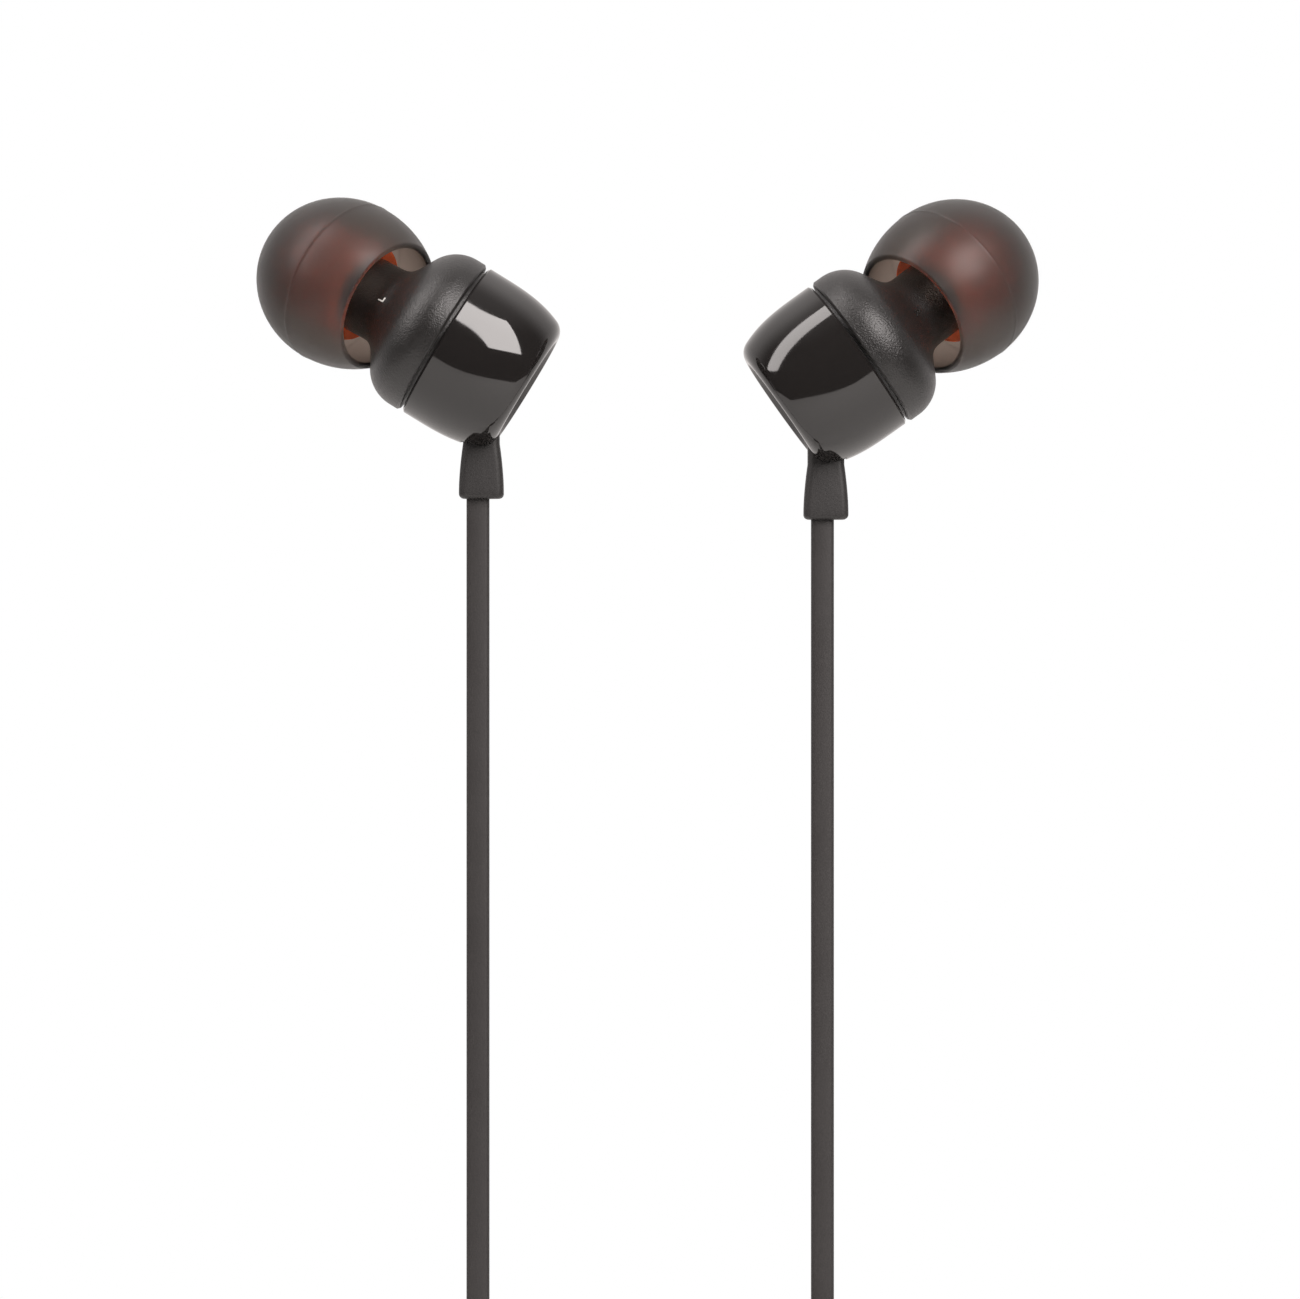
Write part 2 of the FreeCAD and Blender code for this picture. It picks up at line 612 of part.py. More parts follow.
def build_cords():
    """Keeps the cords' tubes and coils."""
    left = EARBUDS["left"]
    right = EARBUDS["right"]
    left_y = CORD_Y
    right_y = CORD_Y + LEG_PITCH_Y
    half_leg = LEG_WIDTH / 2

    left_inner = flat_cord("left inner run", leg_into_splitter(left_y), LEG_WIDTH, LEG_THICKNESS)
    left_hang = hanging_leg(left["cord_x"], left["relief_end_z"], COIL_CENTRE.z)
    keep("left_leg_cord", Part.makeCompound([left_hang, left_inner]))

    remote_low_z = REMOTE_TOP_Z - REMOTE_LENGTH
    right_hang = hanging_leg(right["cord_x"], right["relief_end_z"], REMOTE_TOP_Z)
    crossing = [
        Vector(right["cord_x"], CORD_Y, remote_low_z),
        Vector(right["cord_x"], CORD_Y, remote_low_z - 6.0),
        Vector(11.2, CORD_Y + 0.9, remote_low_z - 11.6),
        Vector(7.2, CORD_Y + 1.7, remote_low_z - 15.0),
        Vector(COIL_CENTRE.x, right_y, COIL_CENTRE.z + LEG_OUTER_TURN),
        Vector(COIL_CENTRE.x - 3.4, right_y, COIL_CENTRE.z + LEG_OUTER_TURN - 0.5),
    ]
    right_cross = flat_cord("right crossing", crossing, LEG_WIDTH, LEG_THICKNESS)
    right_inner = flat_cord("right inner run", leg_into_splitter(right_y), LEG_WIDTH, LEG_THICKNESS)
    keep("right_leg_cord", Part.makeCompound([right_hang, right_cross, right_inner]))

    for name, y in (("left", left_y), ("right", right_y)):
        turns = coil_ring(LEG_OUTER_TURN, LEG_INNER_TURN, LEG_THICKNESS, y - half_leg, y + half_leg)
        keep(name + "_leg_coil", turns)

    half_trunk = TRUNK_WIDTH / 2
    last_y = TRUNK_FIRST_Y + (TRUNK_COLUMNS - 1) * TRUNK_COLUMN_PITCH
    turns = coil_ring(TRUNK_OUTER_TURN, TRUNK_INNER_TURN, TRUNK_THICKNESS,
                      TRUNK_FIRST_Y - half_trunk, last_y + half_trunk)
    keep("trunk_coil", turns)

    high = SPLITTER_HIGH_Z - COIL_CENTRE.z
    inner = flat_cord("trunk inner run", [
        in_coil(7.0, SPLITTER_Y, high),
        in_coil(7.0, SPLITTER_Y, high + 2.8),
        in_coil(5.3, SPLITTER_Y + 0.2, 8.7),
        in_coil(2.4, SPLITTER_Y + 0.7, 10.1),
        in_coil(-0.9, SPLITTER_Y + 1.4, 10.3),
        in_coil(-4.1, SPLITTER_Y + 2.1, 9.4),
        in_coil(-7.0, SPLITTER_Y + 2.6, 7.5),
    ], TRUNK_WIDTH, TRUNK_THICKNESS)
    tail = block(TRUNK_THICKNESS, TRUNK_WIDTH, PLUG_RELIEF_TOP_Z, COIL_CENTRE.z,
                 Vector(PLUG_X, PLUG_Y, 0))
    keep("trunk_cord", Part.makeCompound([inner, tail]))


def build_splitter_and_tie():
    """Keeps the moulded splitter and the tie round the coil."""
    centre = Vector(SPLITTER_X, SPLITTER_Y, 0)
    heights = (SPLITTER_LOW_Z, SPLITTER_LOW_Z + 0.4, COIL_CENTRE.z + 1.0, SPLITTER_HIGH_Z)
    sizes = ((2.00, 4.00, 0.60), (2.50, 4.60, 0.80), (2.30, 3.90, 0.80), (1.70, 2.70, 0.55))
    sections = []
    for height, size in zip(heights, sizes):
        sections.append((*size, centre + Vector(0, 0, height)))
    keep("cord_splitter", moulding(sections))

    inner_low_y = CORD_Y - LEG_WIDTH / 2 - 0.15
    inner_high_y = PLUG_Y + TRUNK_WIDTH / 2 + 0.15
    inner_low_r = TRUNK_INNER_TURN - TRUNK_THICKNESS / 2 - 0.20
    inner_high_r = LEG_OUTER_TURN + LEG_THICKNESS / 2 + 0.25
    band = 0.50
    outer = Part.makeBox(inner_high_r - inner_low_r + 2 * band, inner_high_y - inner_low_y + 2 * band,
                         3.60, Vector(inner_low_r - band, inner_low_y - band, -1.80))
    hole = Part.makeBox(inner_high_r - inner_low_r, inner_high_y - inner_low_y, 4.60,
                        Vector(inner_low_r, inner_low_y, -2.30))
    outer = outer.makeFillet(0.9, [edge for edge in outer.Edges if edge.Length == 3.60])
    tie = outer.cut(hole)
    keep("coil_tie", placed(tie, Placement(COIL_CENTRE, Rotation(Vector(0, 1, 0), 125))))


# ---------------------------------------------------------------- remote
def pill(width, length, low_y, high_y, centre):
    """A round-ended upright plate between two depths."""
    half = length / 2 - width / 2
    ends = []
    for way in (-1, 1):
        base = centre + Vector(0, low_y, way * half)
        ends.append(Part.makeCylinder(width / 2, high_y - low_y, base, Vector(0, 1, 0)))
    corner = centre + Vector(-width / 2, low_y, -half)
    middle = Part.makeBox(width, high_y - low_y, 2 * half, corner)
    return middle.fuse(ends[0]).fuse(ends[1]).removeSplitter()


def build_remote():
    """Keeps the in-line remote's shells, button, board, switch and microphone."""
    centre = Vector(EARBUDS["right"]["cord_x"], CORD_Y, REMOTE_TOP_Z - REMOTE_LENGTH / 2)
    inner_width = REMOTE_WIDTH - 2 * REMOTE_WALL
    inner_length = REMOTE_LENGTH - 2 * REMOTE_WALL
    button_centre = centre + Vector(0, 0, 3.0)
    switch_front = -REMOTE_FRONT + REMOTE_WALL + SWITCH_GAP
    front = pill(REMOTE_WIDTH, REMOTE_LENGTH, -REMOTE_FRONT, -0.02, centre)
    front = front.cut(pill(inner_width, inner_length, -REMOTE_FRONT + REMOTE_WALL, 0, centre))
    opening = pill(BUTTON_WIDTH + 2 * BUTTON_GAP, BUTTON_LENGTH + 2 * BUTTON_GAP,
                   -REMOTE_FRONT - 1, 0, button_centre)
    mic_hole = Part.makeCylinder(0.40, 3, centre + Vector(0, -3, -7.5), Vector(0, 1, 0))
    keep("remote_front_shell", front.cut(opening).cut(mic_hole))
    back = pill(REMOTE_WIDTH, REMOTE_LENGTH, 0.02, REMOTE_BACK, centre)
    keep("remote_back_shell",
         back.cut(pill(inner_width, inner_length, 0, REMOTE_BACK - REMOTE_WALL, centre)))
    button = pill(BUTTON_WIDTH, BUTTON_LENGTH, -REMOTE_FRONT - BUTTON_PROUD,
                  -REMOTE_FRONT + REMOTE_WALL, button_centre)
    keep("remote_button", button)
    board_front = 0.30
    board = block(3.40, 0.50, centre.z - 10, centre.z + 9.5,
                  centre + Vector(0, board_front + 0.25, 0))
    keep("remote_board", board)
    switch = block(2.80, board_front - switch_front, button_centre.z - 1.5, button_centre.z + 1.5,
                   centre + Vector(0, (board_front + switch_front) / 2, 0))
    keep("remote_switch", switch)
    mic_base = centre + Vector(0, board_front, -7.5)
    keep("remote_microphone", Part.makeCylinder(1.45, 1.10, mic_base, Vector(0, -1, 0)))


# ---------------------------------------------------------------- plug
def build_plug():
    """Keeps the plug: relief, grip, and the pin's poles on their insulating core."""
    relief_low = PLUG_RELIEF_TOP_Z - PLUG_RELIEF_LENGTH
    grip_low = relief_low - PLUG_GRIP_LENGTH
    axis = Placement(Vector(PLUG_X, PLUG_Y, grip_low), Rotation())

    grip = lathe([
        (0, 0),
        (PLUG_GRIP_RADIUS - 0.5, 0),
        (arc_point((PLUG_GRIP_RADIUS - 0.5, 0.5), 0.5, -45), (PLUG_GRIP_RADIUS, 0.5)),
        (PLUG_GRIP_RADIUS, 9.5),
        ((3.35, 12.5), (2.50, PLUG_GRIP_LENGTH)),
        (0, PLUG_GRIP_LENGTH),
    ])
    relief = lathe([
        (0, PLUG_GRIP_LENGTH),
        (2.20, PLUG_GRIP_LENGTH),
        (1.45, PLUG_GRIP_LENGTH + PLUG_RELIEF_LENGTH - 0.3),
        (1.15, PLUG_GRIP_LENGTH + PLUG_RELIEF_LENGTH),
        (0, PLUG_GRIP_LENGTH + PLUG_RELIEF_LENGTH),
    ])
    keep("plug_grip", placed(grip, axis))
    keep("plug_strain_relief", placed(relief, axis))

    low = 0.0
    lengths = [("plug_sleeve", SLEEVE_LENGTH), ("plug_rear_ring", POLE_LENGTH),
               ("plug_front_ring", POLE_LENGTH)]
    core = disc(PIN_CORE_RADIUS, -SLEEVE_LENGTH - 2 * POLE_LENGTH - 3 * COLLAR_LENGTH, 0)
    for name, length in lengths:
        keep(name, placed(ring(PIN_RADIUS, PIN_CORE_RADIUS, low - length, low), axis))
        core = core.fuse(disc(PIN_RADIUS, low - length - COLLAR_LENGTH, low - length))
        low -= length + COLLAR_LENGTH
    keep("plug_insulator", placed(core.removeSplitter(), axis))
    nose = (0, -PIN_LENGTH + 0.90)
    tip = lathe([
        (0, low),
        (PIN_RADIUS, low),
        (PIN_RADIUS, low - 0.50),
        ((1.28, low - 1.05), (1.55, low - 1.60)),
        (1.60, low - 1.90),
        arc_point(nose, 0.90, -20),
        (arc_point(nose, 0.90, -55), (0, -PIN_LENGTH)),
    ])
    keep("plug_tip", placed(tip, axis))


# ---------------------------------------------------------------- build
for side in EARBUDS:
    build_earbud(side)
build_cords()
build_splitter_and_tie()
build_remote()
build_plug()

os.makedirs("parts", exist_ok=True)
for name, shape in NODES.items():
    if not shape.isValid():
        print("not valid:", name)
    shape.exportStep("parts/" + name + ".step")
print(len(NODES), "nodes")
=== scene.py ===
# %% [markdown]
# # Wired in-ear earphones, finished in Blender
# The CAD model already says where every piece is and how it moves. This lesson dresses it:
# each visible piece gets a finer mesh or a better finish, and nothing leaves its place.
# Sizes are written in millimetres, because that is how such small things are drawn, and
# one function turns them into the metres that the frame uses.

import json
import math

import bmesh
import bpy
from mathutils import Matrix, Vector


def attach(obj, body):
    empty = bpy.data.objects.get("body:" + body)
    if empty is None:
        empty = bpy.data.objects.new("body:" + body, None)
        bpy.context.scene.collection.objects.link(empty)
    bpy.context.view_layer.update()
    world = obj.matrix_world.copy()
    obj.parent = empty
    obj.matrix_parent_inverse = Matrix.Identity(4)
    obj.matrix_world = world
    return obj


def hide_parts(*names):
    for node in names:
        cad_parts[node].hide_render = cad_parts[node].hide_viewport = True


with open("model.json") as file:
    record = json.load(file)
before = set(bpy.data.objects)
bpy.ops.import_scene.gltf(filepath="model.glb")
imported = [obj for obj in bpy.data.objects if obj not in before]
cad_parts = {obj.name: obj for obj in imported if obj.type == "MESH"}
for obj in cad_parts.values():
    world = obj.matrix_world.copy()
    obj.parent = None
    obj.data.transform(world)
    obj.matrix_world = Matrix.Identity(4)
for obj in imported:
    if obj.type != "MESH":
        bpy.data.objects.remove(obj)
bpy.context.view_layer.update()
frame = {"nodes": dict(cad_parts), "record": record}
MM = 0.001


def metres(point):
    """A point in millimetres as a vector in metres."""
    return Vector(point) * MM


print("CAD nodes:", len(frame["nodes"]))

# %% [markdown]
# The two earbuds are one design, hung at two angles. What differs is the middle of the seam,
# the turn of the housing about Y, and where the cord and the end of its relief are.
# "left" and "right" are the sides as the camera sees them.

# %% Where the earbuds hang
EARBUDS = {
    "left": {"seam": (-14.24, -3.67, -4.11), "turn": -58.4, "cord_x": -11.89, "relief_end": -15.30},
    "right": {"seam": (14.81, -3.67, -5.13), "turn": 54.5, "cord_x": 12.22, "relief_end": -16.76},
}
CORD_Y = -3.67
NOZZLE_PIVOT = 2.00
NOZZLE_LEAN = 30.0
NOZZLE_ROLL = 3.7
TIP_CENTRE = 7.35


def turn_about(axis, degrees):
    """A turn about one of the frame's axes."""
    return Matrix.Rotation(math.radians(degrees), 4, axis)


def housing_frame(side):
    """Millimetre frame of a housing: +Z along its axis to the ear, zero at the seam."""
    bud = EARBUDS[side]
    return Matrix.Translation(bud["seam"]) @ turn_about("Y", bud["turn"])


def nozzle_in_housing():
    """The nozzle's frame inside the housing's: it starts behind the shoulder and leans."""
    start = Matrix.Translation((0, 0, NOZZLE_PIVOT))
    return start @ turn_about("Z", NOZZLE_ROLL) @ turn_about("X", -NOZZLE_LEAN)


def nozzle_frame(side):
    """Millimetre frame of a nozzle, its +Z along the sound bore."""
    return housing_frame(side) @ nozzle_in_housing()


for side in EARBUDS:
    axis = nozzle_frame(side).to_3x3() @ Vector((0, 0, 1))
    print(side, "nozzle points to", [round(value, 3) for value in axis])

# %% [markdown]
# ## Camera
# A long lens from 400 mm gives the gentle perspective of a product picture. The view is level,
# straight at the front, and 91 mm wide where the cords hang.

# %% Camera
VIEW_DISTANCE = 400.0
VIEW_WIDTH = 91.0
SENSOR_WIDTH = 36.0
VIEW_CENTRE = (0.15, CORD_Y, -25.85)

camera = bpy.data.objects.new("camera", bpy.data.cameras.new("camera"))
bpy.context.scene.collection.objects.link(camera)
bpy.context.scene.camera = camera
camera.location = metres(VIEW_CENTRE) + metres((0, -VIEW_DISTANCE, 0))
camera.rotation_euler = (math.radians(90), 0, 0)
camera.data.sensor_width = SENSOR_WIDTH
camera.data.lens = SENSOR_WIDTH * VIEW_DISTANCE / VIEW_WIDTH
camera.data.clip_start = 0.01
camera.data.clip_end = 10.0
print("lens", round(camera.data.lens, 1), "mm")

# %% [markdown]
# ## Shared surface effects
# Moulded plastic, rubber and silicone all show a fine grain from the mould and faint handling
# marks. Both are made once as shader groups, and every finish sets its own sizes and amounts.
# The groups give out only values, and the shader itself stays in each material.

# %% Grain and handling groups


def group_with(name, inputs, outputs):
    """An empty shader group with named float sockets, plus its vector input."""
    tree = bpy.data.node_groups.new(name, "ShaderNodeTree")
    tree.interface.new_socket("Vector", in_out="INPUT", socket_type="NodeSocketVector")
    for label, value in inputs:
        socket = tree.interface.new_socket(label, in_out="INPUT", socket_type="NodeSocketFloat")
        socket.default_value = value
    for label in outputs:
        tree.interface.new_socket(label, in_out="OUTPUT", socket_type="NodeSocketFloat")
    return tree, tree.nodes.new("NodeGroupInput"), tree.nodes.new("NodeGroupOutput")


def noise_node(tree, vector, scale, detail):
    """A noise texture driven by a vector socket and a scale, which may be a socket."""
    node = tree.nodes.new("ShaderNodeTexNoise")
    node.inputs["Detail"].default_value = detail
    tree.links.new(vector, node.inputs["Vector"])
    if isinstance(scale, (int, float)):
        node.inputs["Scale"].default_value = scale
    else:
        tree.links.new(scale, node.inputs["Scale"])
    return node.outputs["Fac"]


def math_node(tree, operation, first, second):
    """One sum on sockets or numbers."""
    node = tree.nodes.new("ShaderNodeMath")
    node.operation = operation
    for socket, value in zip(node.inputs, (first, second)):
        if isinstance(value, (int, float)):
            socket.default_value = value
        else:
            tree.links.new(value, socket)
    return node.outputs["Value"]


def build_grain():
    """Mould grain: two sizes of noise, as a height and as a faint change of tone."""
    tree, source, result = group_with("mould grain", [("Scale", 6.0), ("Coarse Share", 0.4)],
                                      ["Height", "Tone"])
    vector = source.outputs["Vector"]
    fine = noise_node(tree, vector, source.outputs["Scale"], 3.0)
    wide = math_node(tree, "MULTIPLY", source.outputs["Scale"], 0.22)
    coarse = noise_node(tree, vector, wide, 2.0)
    part = math_node(tree, "MULTIPLY", coarse, source.outputs["Coarse Share"])
    height = math_node(tree, "ADD", fine, part)
    tree.links.new(height, result.inputs["Height"])
    tree.links.new(math_node(tree, "MULTIPLY", height, 0.72), result.inputs["Tone"])
    return tree


def build_handling():
    """Handling marks: broad cloudy patches broken up by small ones, from 0 to 1."""
    tree, source, result = group_with("handling marks", [("Patch Scale", 0.35)], ["Mask"])
    vector = source.outputs["Vector"]
    broad = noise_node(tree, vector, source.outputs["Patch Scale"], 2.0)
    small = noise_node(tree, vector, math_node(tree, "MULTIPLY", source.outputs["Patch Scale"], 9.0), 4.0)
    both = math_node(tree, "MULTIPLY", broad, math_node(tree, "ADD", small, 0.5))
    tree.links.new(both, result.inputs["Mask"])
    return tree


grain_group = build_grain()
handling_group = build_handling()
print("shader groups:", grain_group.name, "and", handling_group.name)

# %% [markdown]
# ## Finishes
# Each finish is a Principled surface whose colour runs between a dark and a light tone, and
# whose roughness runs between two values, both led by the groups above. Grain scale is in
# noise cells per millimetre, and its depth is in thousandths of a millimetre.

# %% One function for all finishes
FINISHES = {}
GRAIN_STRENGTH = 0.6
MARKS_RANGE = (0.2, 0.8)


def add_finish(name, dark, light, roughness, grain, depth, **constants):
    """Adds a procedural finish. constants are plain values for the shader's own sockets."""
    material = bpy.data.materials.new(name)
    material.use_nodes = True
    tree = material.node_tree
    shader = tree.nodes["Principled BSDF"]
    place = tree.nodes.new("ShaderNodeTexCoord")
    scaled = tree.nodes.new("ShaderNodeMapping")
    scaled.inputs["Scale"].default_value = [1 / MM] * 3
    tree.links.new(place.outputs["Object"], scaled.inputs["Vector"])
    grain_node = tree.nodes.new("ShaderNodeGroup")
    grain_node.node_tree = grain_group
    grain_node.inputs["Scale"].default_value = grain
    marks = tree.nodes.new("ShaderNodeGroup")
    marks.node_tree = handling_group
    for node in (grain_node, marks):
        tree.links.new(scaled.outputs["Vector"], node.inputs["Vector"])
    mix = tree.nodes.new("ShaderNodeMix")
    mix.data_type = "RGBA"
    mix.inputs["A"].default_value = (*dark, 1)
    mix.inputs["B"].default_value = (*light, 1)
    tree.links.new(grain_node.outputs["Tone"], mix.inputs["Factor"])
    tree.links.new(mix.outputs["Result"], shader.inputs["Base Color"])
    spread = tree.nodes.new("ShaderNodeMapRange")
    for label, value in zip(("From Min", "From Max", "To Min", "To Max"), MARKS_RANGE + roughness):
        spread.inputs[label].default_value = value
    tree.links.new(marks.outputs["Mask"], spread.inputs["Value"])
    tree.links.new(spread.outputs["Result"], shader.inputs["Roughness"])
    bump = tree.nodes.new("ShaderNodeBump")
    bump.inputs["Strength"].default_value = GRAIN_STRENGTH
    bump.inputs["Distance"].default_value = depth * MM * MM
    tree.links.new(grain_node.outputs["Height"], bump.inputs["Height"])
    tree.links.new(bump.outputs["Normal"], shader.inputs["Normal"])
    for label, value in constants.items():
        shader.inputs[label.replace("_", " ")].default_value = value
    FINISHES[name] = material
    return material


# %% [markdown]
# The front shell is soft-touch black, the rear shell is polished black, the cord is a matt
# elastomer, and the sleeve in each tip is orange-red silicone. The hidden pieces get the metals,
# felt and film that a small moving-coil driver is made of.

# %% The finishes
add_finish("matte_black", (0.0015, 0.0013, 0.0012), (0.0105, 0.009, 0.0085),
           (0.33, 0.40), grain=8.5, depth=68.0)
add_finish("gloss_black", (0.0080, 0.0071, 0.0067), (0.0110, 0.0097, 0.0093),
           (0.045, 0.10), grain=0.6, depth=1.0)
add_finish("red_silicone", (0.74, 0.105, 0.022), (0.90, 0.16, 0.035),
           (0.40, 0.52), grain=4.0, depth=4.0)
add_finish("black_rubber", (0.006, 0.0052, 0.0050), (0.011, 0.0096, 0.0093),
           (0.50, 0.62), grain=6.0, depth=20.0)
add_finish("cord_jacket", (0.011, 0.0095, 0.0093), (0.021, 0.0183, 0.0178),
           (0.48, 0.60), grain=6.5, depth=16.0)
add_finish("button_gloss", (0.012, 0.011, 0.011), (0.018, 0.016, 0.016),
           (0.12, 0.20), grain=2.0, depth=1.0)
add_finish("steel_mesh", (0.10, 0.10, 0.10), (0.60, 0.60, 0.58),
           (0.30, 0.45), grain=9.0, depth=40.0, Metallic=1.0)
add_finish("driver_steel", (0.42, 0.42, 0.41), (0.56, 0.56, 0.55),
           (0.22, 0.38), grain=7.0, depth=2.0, Metallic=1.0)
add_finish("magnet", (0.50, 0.49, 0.47), (0.62, 0.61, 0.60),
           (0.12, 0.25), grain=3.0, depth=1.0, Metallic=1.0)
add_finish("film", (0.42, 0.34, 0.16), (0.52, 0.43, 0.22),
           (0.18, 0.30), grain=2.0, depth=2.0, Transmission_Weight=0.5)
add_finish("copper", (0.60, 0.26, 0.13), (0.80, 0.40, 0.22),
           (0.20, 0.34), grain=12.0, depth=12.0, Metallic=1.0)
add_finish("frame_plastic", (0.05, 0.05, 0.05), (0.08, 0.08, 0.08), (0.45, 0.60), grain=6.0, depth=4.0)
add_finish("board_green", (0.010, 0.085, 0.040), (0.020, 0.130, 0.060),
           (0.25, 0.40), grain=4.0, depth=5.0)
add_finish("felt", (0.035, 0.035, 0.038), (0.12, 0.12, 0.125), (0.90, 1.00), grain=11.0, depth=60.0)
add_finish("contact_plate", (0.70, 0.55, 0.27), (0.86, 0.70, 0.38),
           (0.14, 0.28), grain=1.5, depth=1.0, Metallic=1.0)
add_finish("insulator", (0.010, 0.010, 0.010), (0.020, 0.020, 0.020),
           (0.35, 0.50), grain=6.0, depth=3.0)
print("finishes:", len(FINISHES))

# %% [markdown]
# The dome of the ear tip is smoky silicone: light goes through its thin wall, loses most of its
# strength there, and a little is scattered. Principled transmission with a volume that absorbs
# does that with the wall's real thickness, so the tip is darker where the eye looks along the
# wall, and the coloured sleeve glows through where it is thin.

# %% Smoky silicone
SMOKE_DENSITY = 3150.0
SMOKE_TINT = (0.17, 0.07, 0.0, 1)
DOME_WALL = 0.45

smoke = add_finish("smoke_silicone", (0.86, 0.82, 0.78), (0.92, 0.89, 0.86), (0.34, 0.42), grain=1.2,
                   depth=0.6, Transmission_Weight=0.975, IOR=1.29, Specular_IOR_Level=0.16)
absorption = smoke.node_tree.nodes.new("ShaderNodeVolumeAbsorption")
absorption.inputs["Color"].default_value = SMOKE_TINT
absorption.inputs["Density"].default_value = SMOKE_DENSITY
smoke.node_tree.links.new(absorption.outputs["Volume"],
                          smoke.node_tree.nodes["Material Output"].inputs["Volume"])
for label, kept in zip(("red", "green", "blue"), SMOKE_TINT):
    through = math.exp(-SMOKE_DENSITY * (1 - kept) * DOME_WALL * MM)
    print("one wall of smoky silicone lets", round(through, 2), "of the", label, "through")

# %% [markdown]
# ## Meshes from rings
# Most pieces here were turned or drawn out by a mould, so their meshes are rows of rings.
# A helper joins one ring to the next, merges the points at a pole, turns the faces outwards
# and keeps edges sharper than 32 degrees crisp.

# %% Ring helpers
SEGMENTS = 160
SHARP_ANGLE = math.radians(32)


def new_object(name, mesh, finish):
    """Links a finished mesh as an object at the origin, with one material."""
    mesh.materials.clear()
    mesh.materials.append(FINISHES[finish])
    piece = bpy.data.objects.new(name, mesh)
    bpy.context.scene.collection.objects.link(piece)
    return piece


def ring_piece(name, rings, finish, loop=False):
    """A piece through rings of points in millimetres. loop joins the last ring to the first."""
    count = len(rings[0])
    points = [metres(point) for ring in rings for point in ring]
    faces = []
    for row in range(len(rings) if loop else len(rings) - 1):
        following = (row + 1) % len(rings)
        for step in range(count):
            after = (step + 1) % count
            faces.append((row * count + step, row * count + after,
                          following * count + after, following * count + step))
    mesh = bpy.data.meshes.new(name)
    mesh.from_pydata(points, [], faces)
    shell = bmesh.new()
    shell.from_mesh(mesh)
    bmesh.ops.remove_doubles(shell, verts=shell.verts, dist=0.002 * MM)
    bmesh.ops.recalc_face_normals(shell, faces=shell.faces)
    shell.to_mesh(mesh)
    shell.free()
    mesh.shade_smooth()
    mesh.set_sharp_from_angle(angle=SHARP_ANGLE)
    return new_object(name, mesh, finish)


def circle(radius, height, place=None):
    """A ring of points about Z, moved by a frame where one is given."""
    ring = []
    for step in range(SEGMENTS):
        angle = 2 * math.pi * step / SEGMENTS
        point = Vector((radius * math.cos(angle), radius * math.sin(angle), height))
        ring.append(place @ point if place else point)
    return ring


def lathe_piece(name, outline, place, finish, loop=False):
    """A turned piece from (radius, height) points."""
    return ring_piece(name, [circle(radius, height, place) for radius, height in outline], finish, loop)


def arc(centre, radius, first, last, count):
    """Points on a circle in an outline's plane, from one angle in degrees to another."""
    points = []
    for step in range(count + 1):
        angle = math.radians(first + (last - first) * step / count)
        points.append((centre[0] + radius * math.cos(angle), centre[1] + radius * math.sin(angle)))
    return points


def softened(corners, radius, count=4):
    """An outline with each inner corner rounded, its two ends left as they are."""
    points = [corners[0]]
    for before, corner, after in zip(corners, corners[1:], corners[2:]):
        here = Vector(corner)
        back = Vector(before) - here
        ahead = Vector(after) - here
        half = back.angle(ahead) / 2
        reach = min(radius / math.tan(half), 0.45 * back.length, 0.45 * ahead.length)
        start = here + back.normalized() * reach
        end = here + ahead.normalized() * reach
        for step in range(count + 1):
            share = step / count
            curve = start * (1 - share) ** 2 + here * 2 * share * (1 - share) + end * share ** 2
            points.append(tuple(curve))
    return points + [corners[-1]]


def settle(piece, body, slot, *nodes):
    """The piece rides on its body and stands for its CAD nodes, which are hidden. slot is not used."""
    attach(piece, body)
    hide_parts(*nodes)
    print(piece.name, len(piece.data.polygons), "faces on", body)
    return piece


# %% [markdown]
# ## Cords
# The cords are flat elastomer, soft enough to hang straight. In view their flat side faces the
# camera; below it they turn by a quarter, so that they can be wound. Each route is one smooth
# NURBS line. Its plain points are then swept by a Geometry Nodes tree, which reads from each
# point which way the flat side faces.

# %% Routes of the cords
COIL_CENTRE = Vector((2.11, 0.0, -129.60))
LEG_OUTER_TURN = 14.00
LEG_INNER_TURN = 11.50
LEG_PITCH_Y = 1.75
LEG_LAST_ANGLE = 267 + 720
TRUNK_ROWS = [10.40, 11.55, 12.70, 13.85]
TRUNK_COLUMNS = [0.03, 2.23, 4.43]
TRUNK_FIRST_ANGLE = 145.0
TRUNK_TURN_START = 133.0
TRUNK_CROSSING = 0.3
SPLITTER_Y = CORD_Y + LEG_PITCH_Y / 2
POINTS_PER_TURN = 24


def in_coil(x, y, z):
    """A point given about the coil's centre."""
    return COIL_CENTRE + Vector((x, y, z))


def on_coil(radius, degrees, y):
    """A point on a turn: the angle runs from +X to +Z, anticlockwise from the front."""
    angle = math.radians(degrees)
    return in_coil(radius * math.cos(angle), y, radius * math.sin(angle))


def leg_turns(first_angle, start_angle, y):
    """A leg's turns, side by side in one flat layer that closes inwards."""
    step = 360 / POINTS_PER_TURN
    count = round((LEG_LAST_ANGLE - first_angle) / step)
    turns = []
    for index in range(1, count):
        angle = first_angle + (LEG_LAST_ANGLE - first_angle) * index / count
        share = (angle - start_angle) / (LEG_LAST_ANGLE - start_angle)
        radius = LEG_OUTER_TURN + (LEG_INNER_TURN - LEG_OUTER_TURN) * share
        turns.append(on_coil(radius, angle, y))
    return turns


def leg_into_splitter(y):
    """From the last turn up to the splitter's lower end."""
    return [in_coil(-0.6, y, -11.5), in_coil(2.6, y, -11.5), in_coil(5.4, y, -10.0),
            in_coil(7.0, y, -7.3), in_coil(7.0, y, -4.40)]


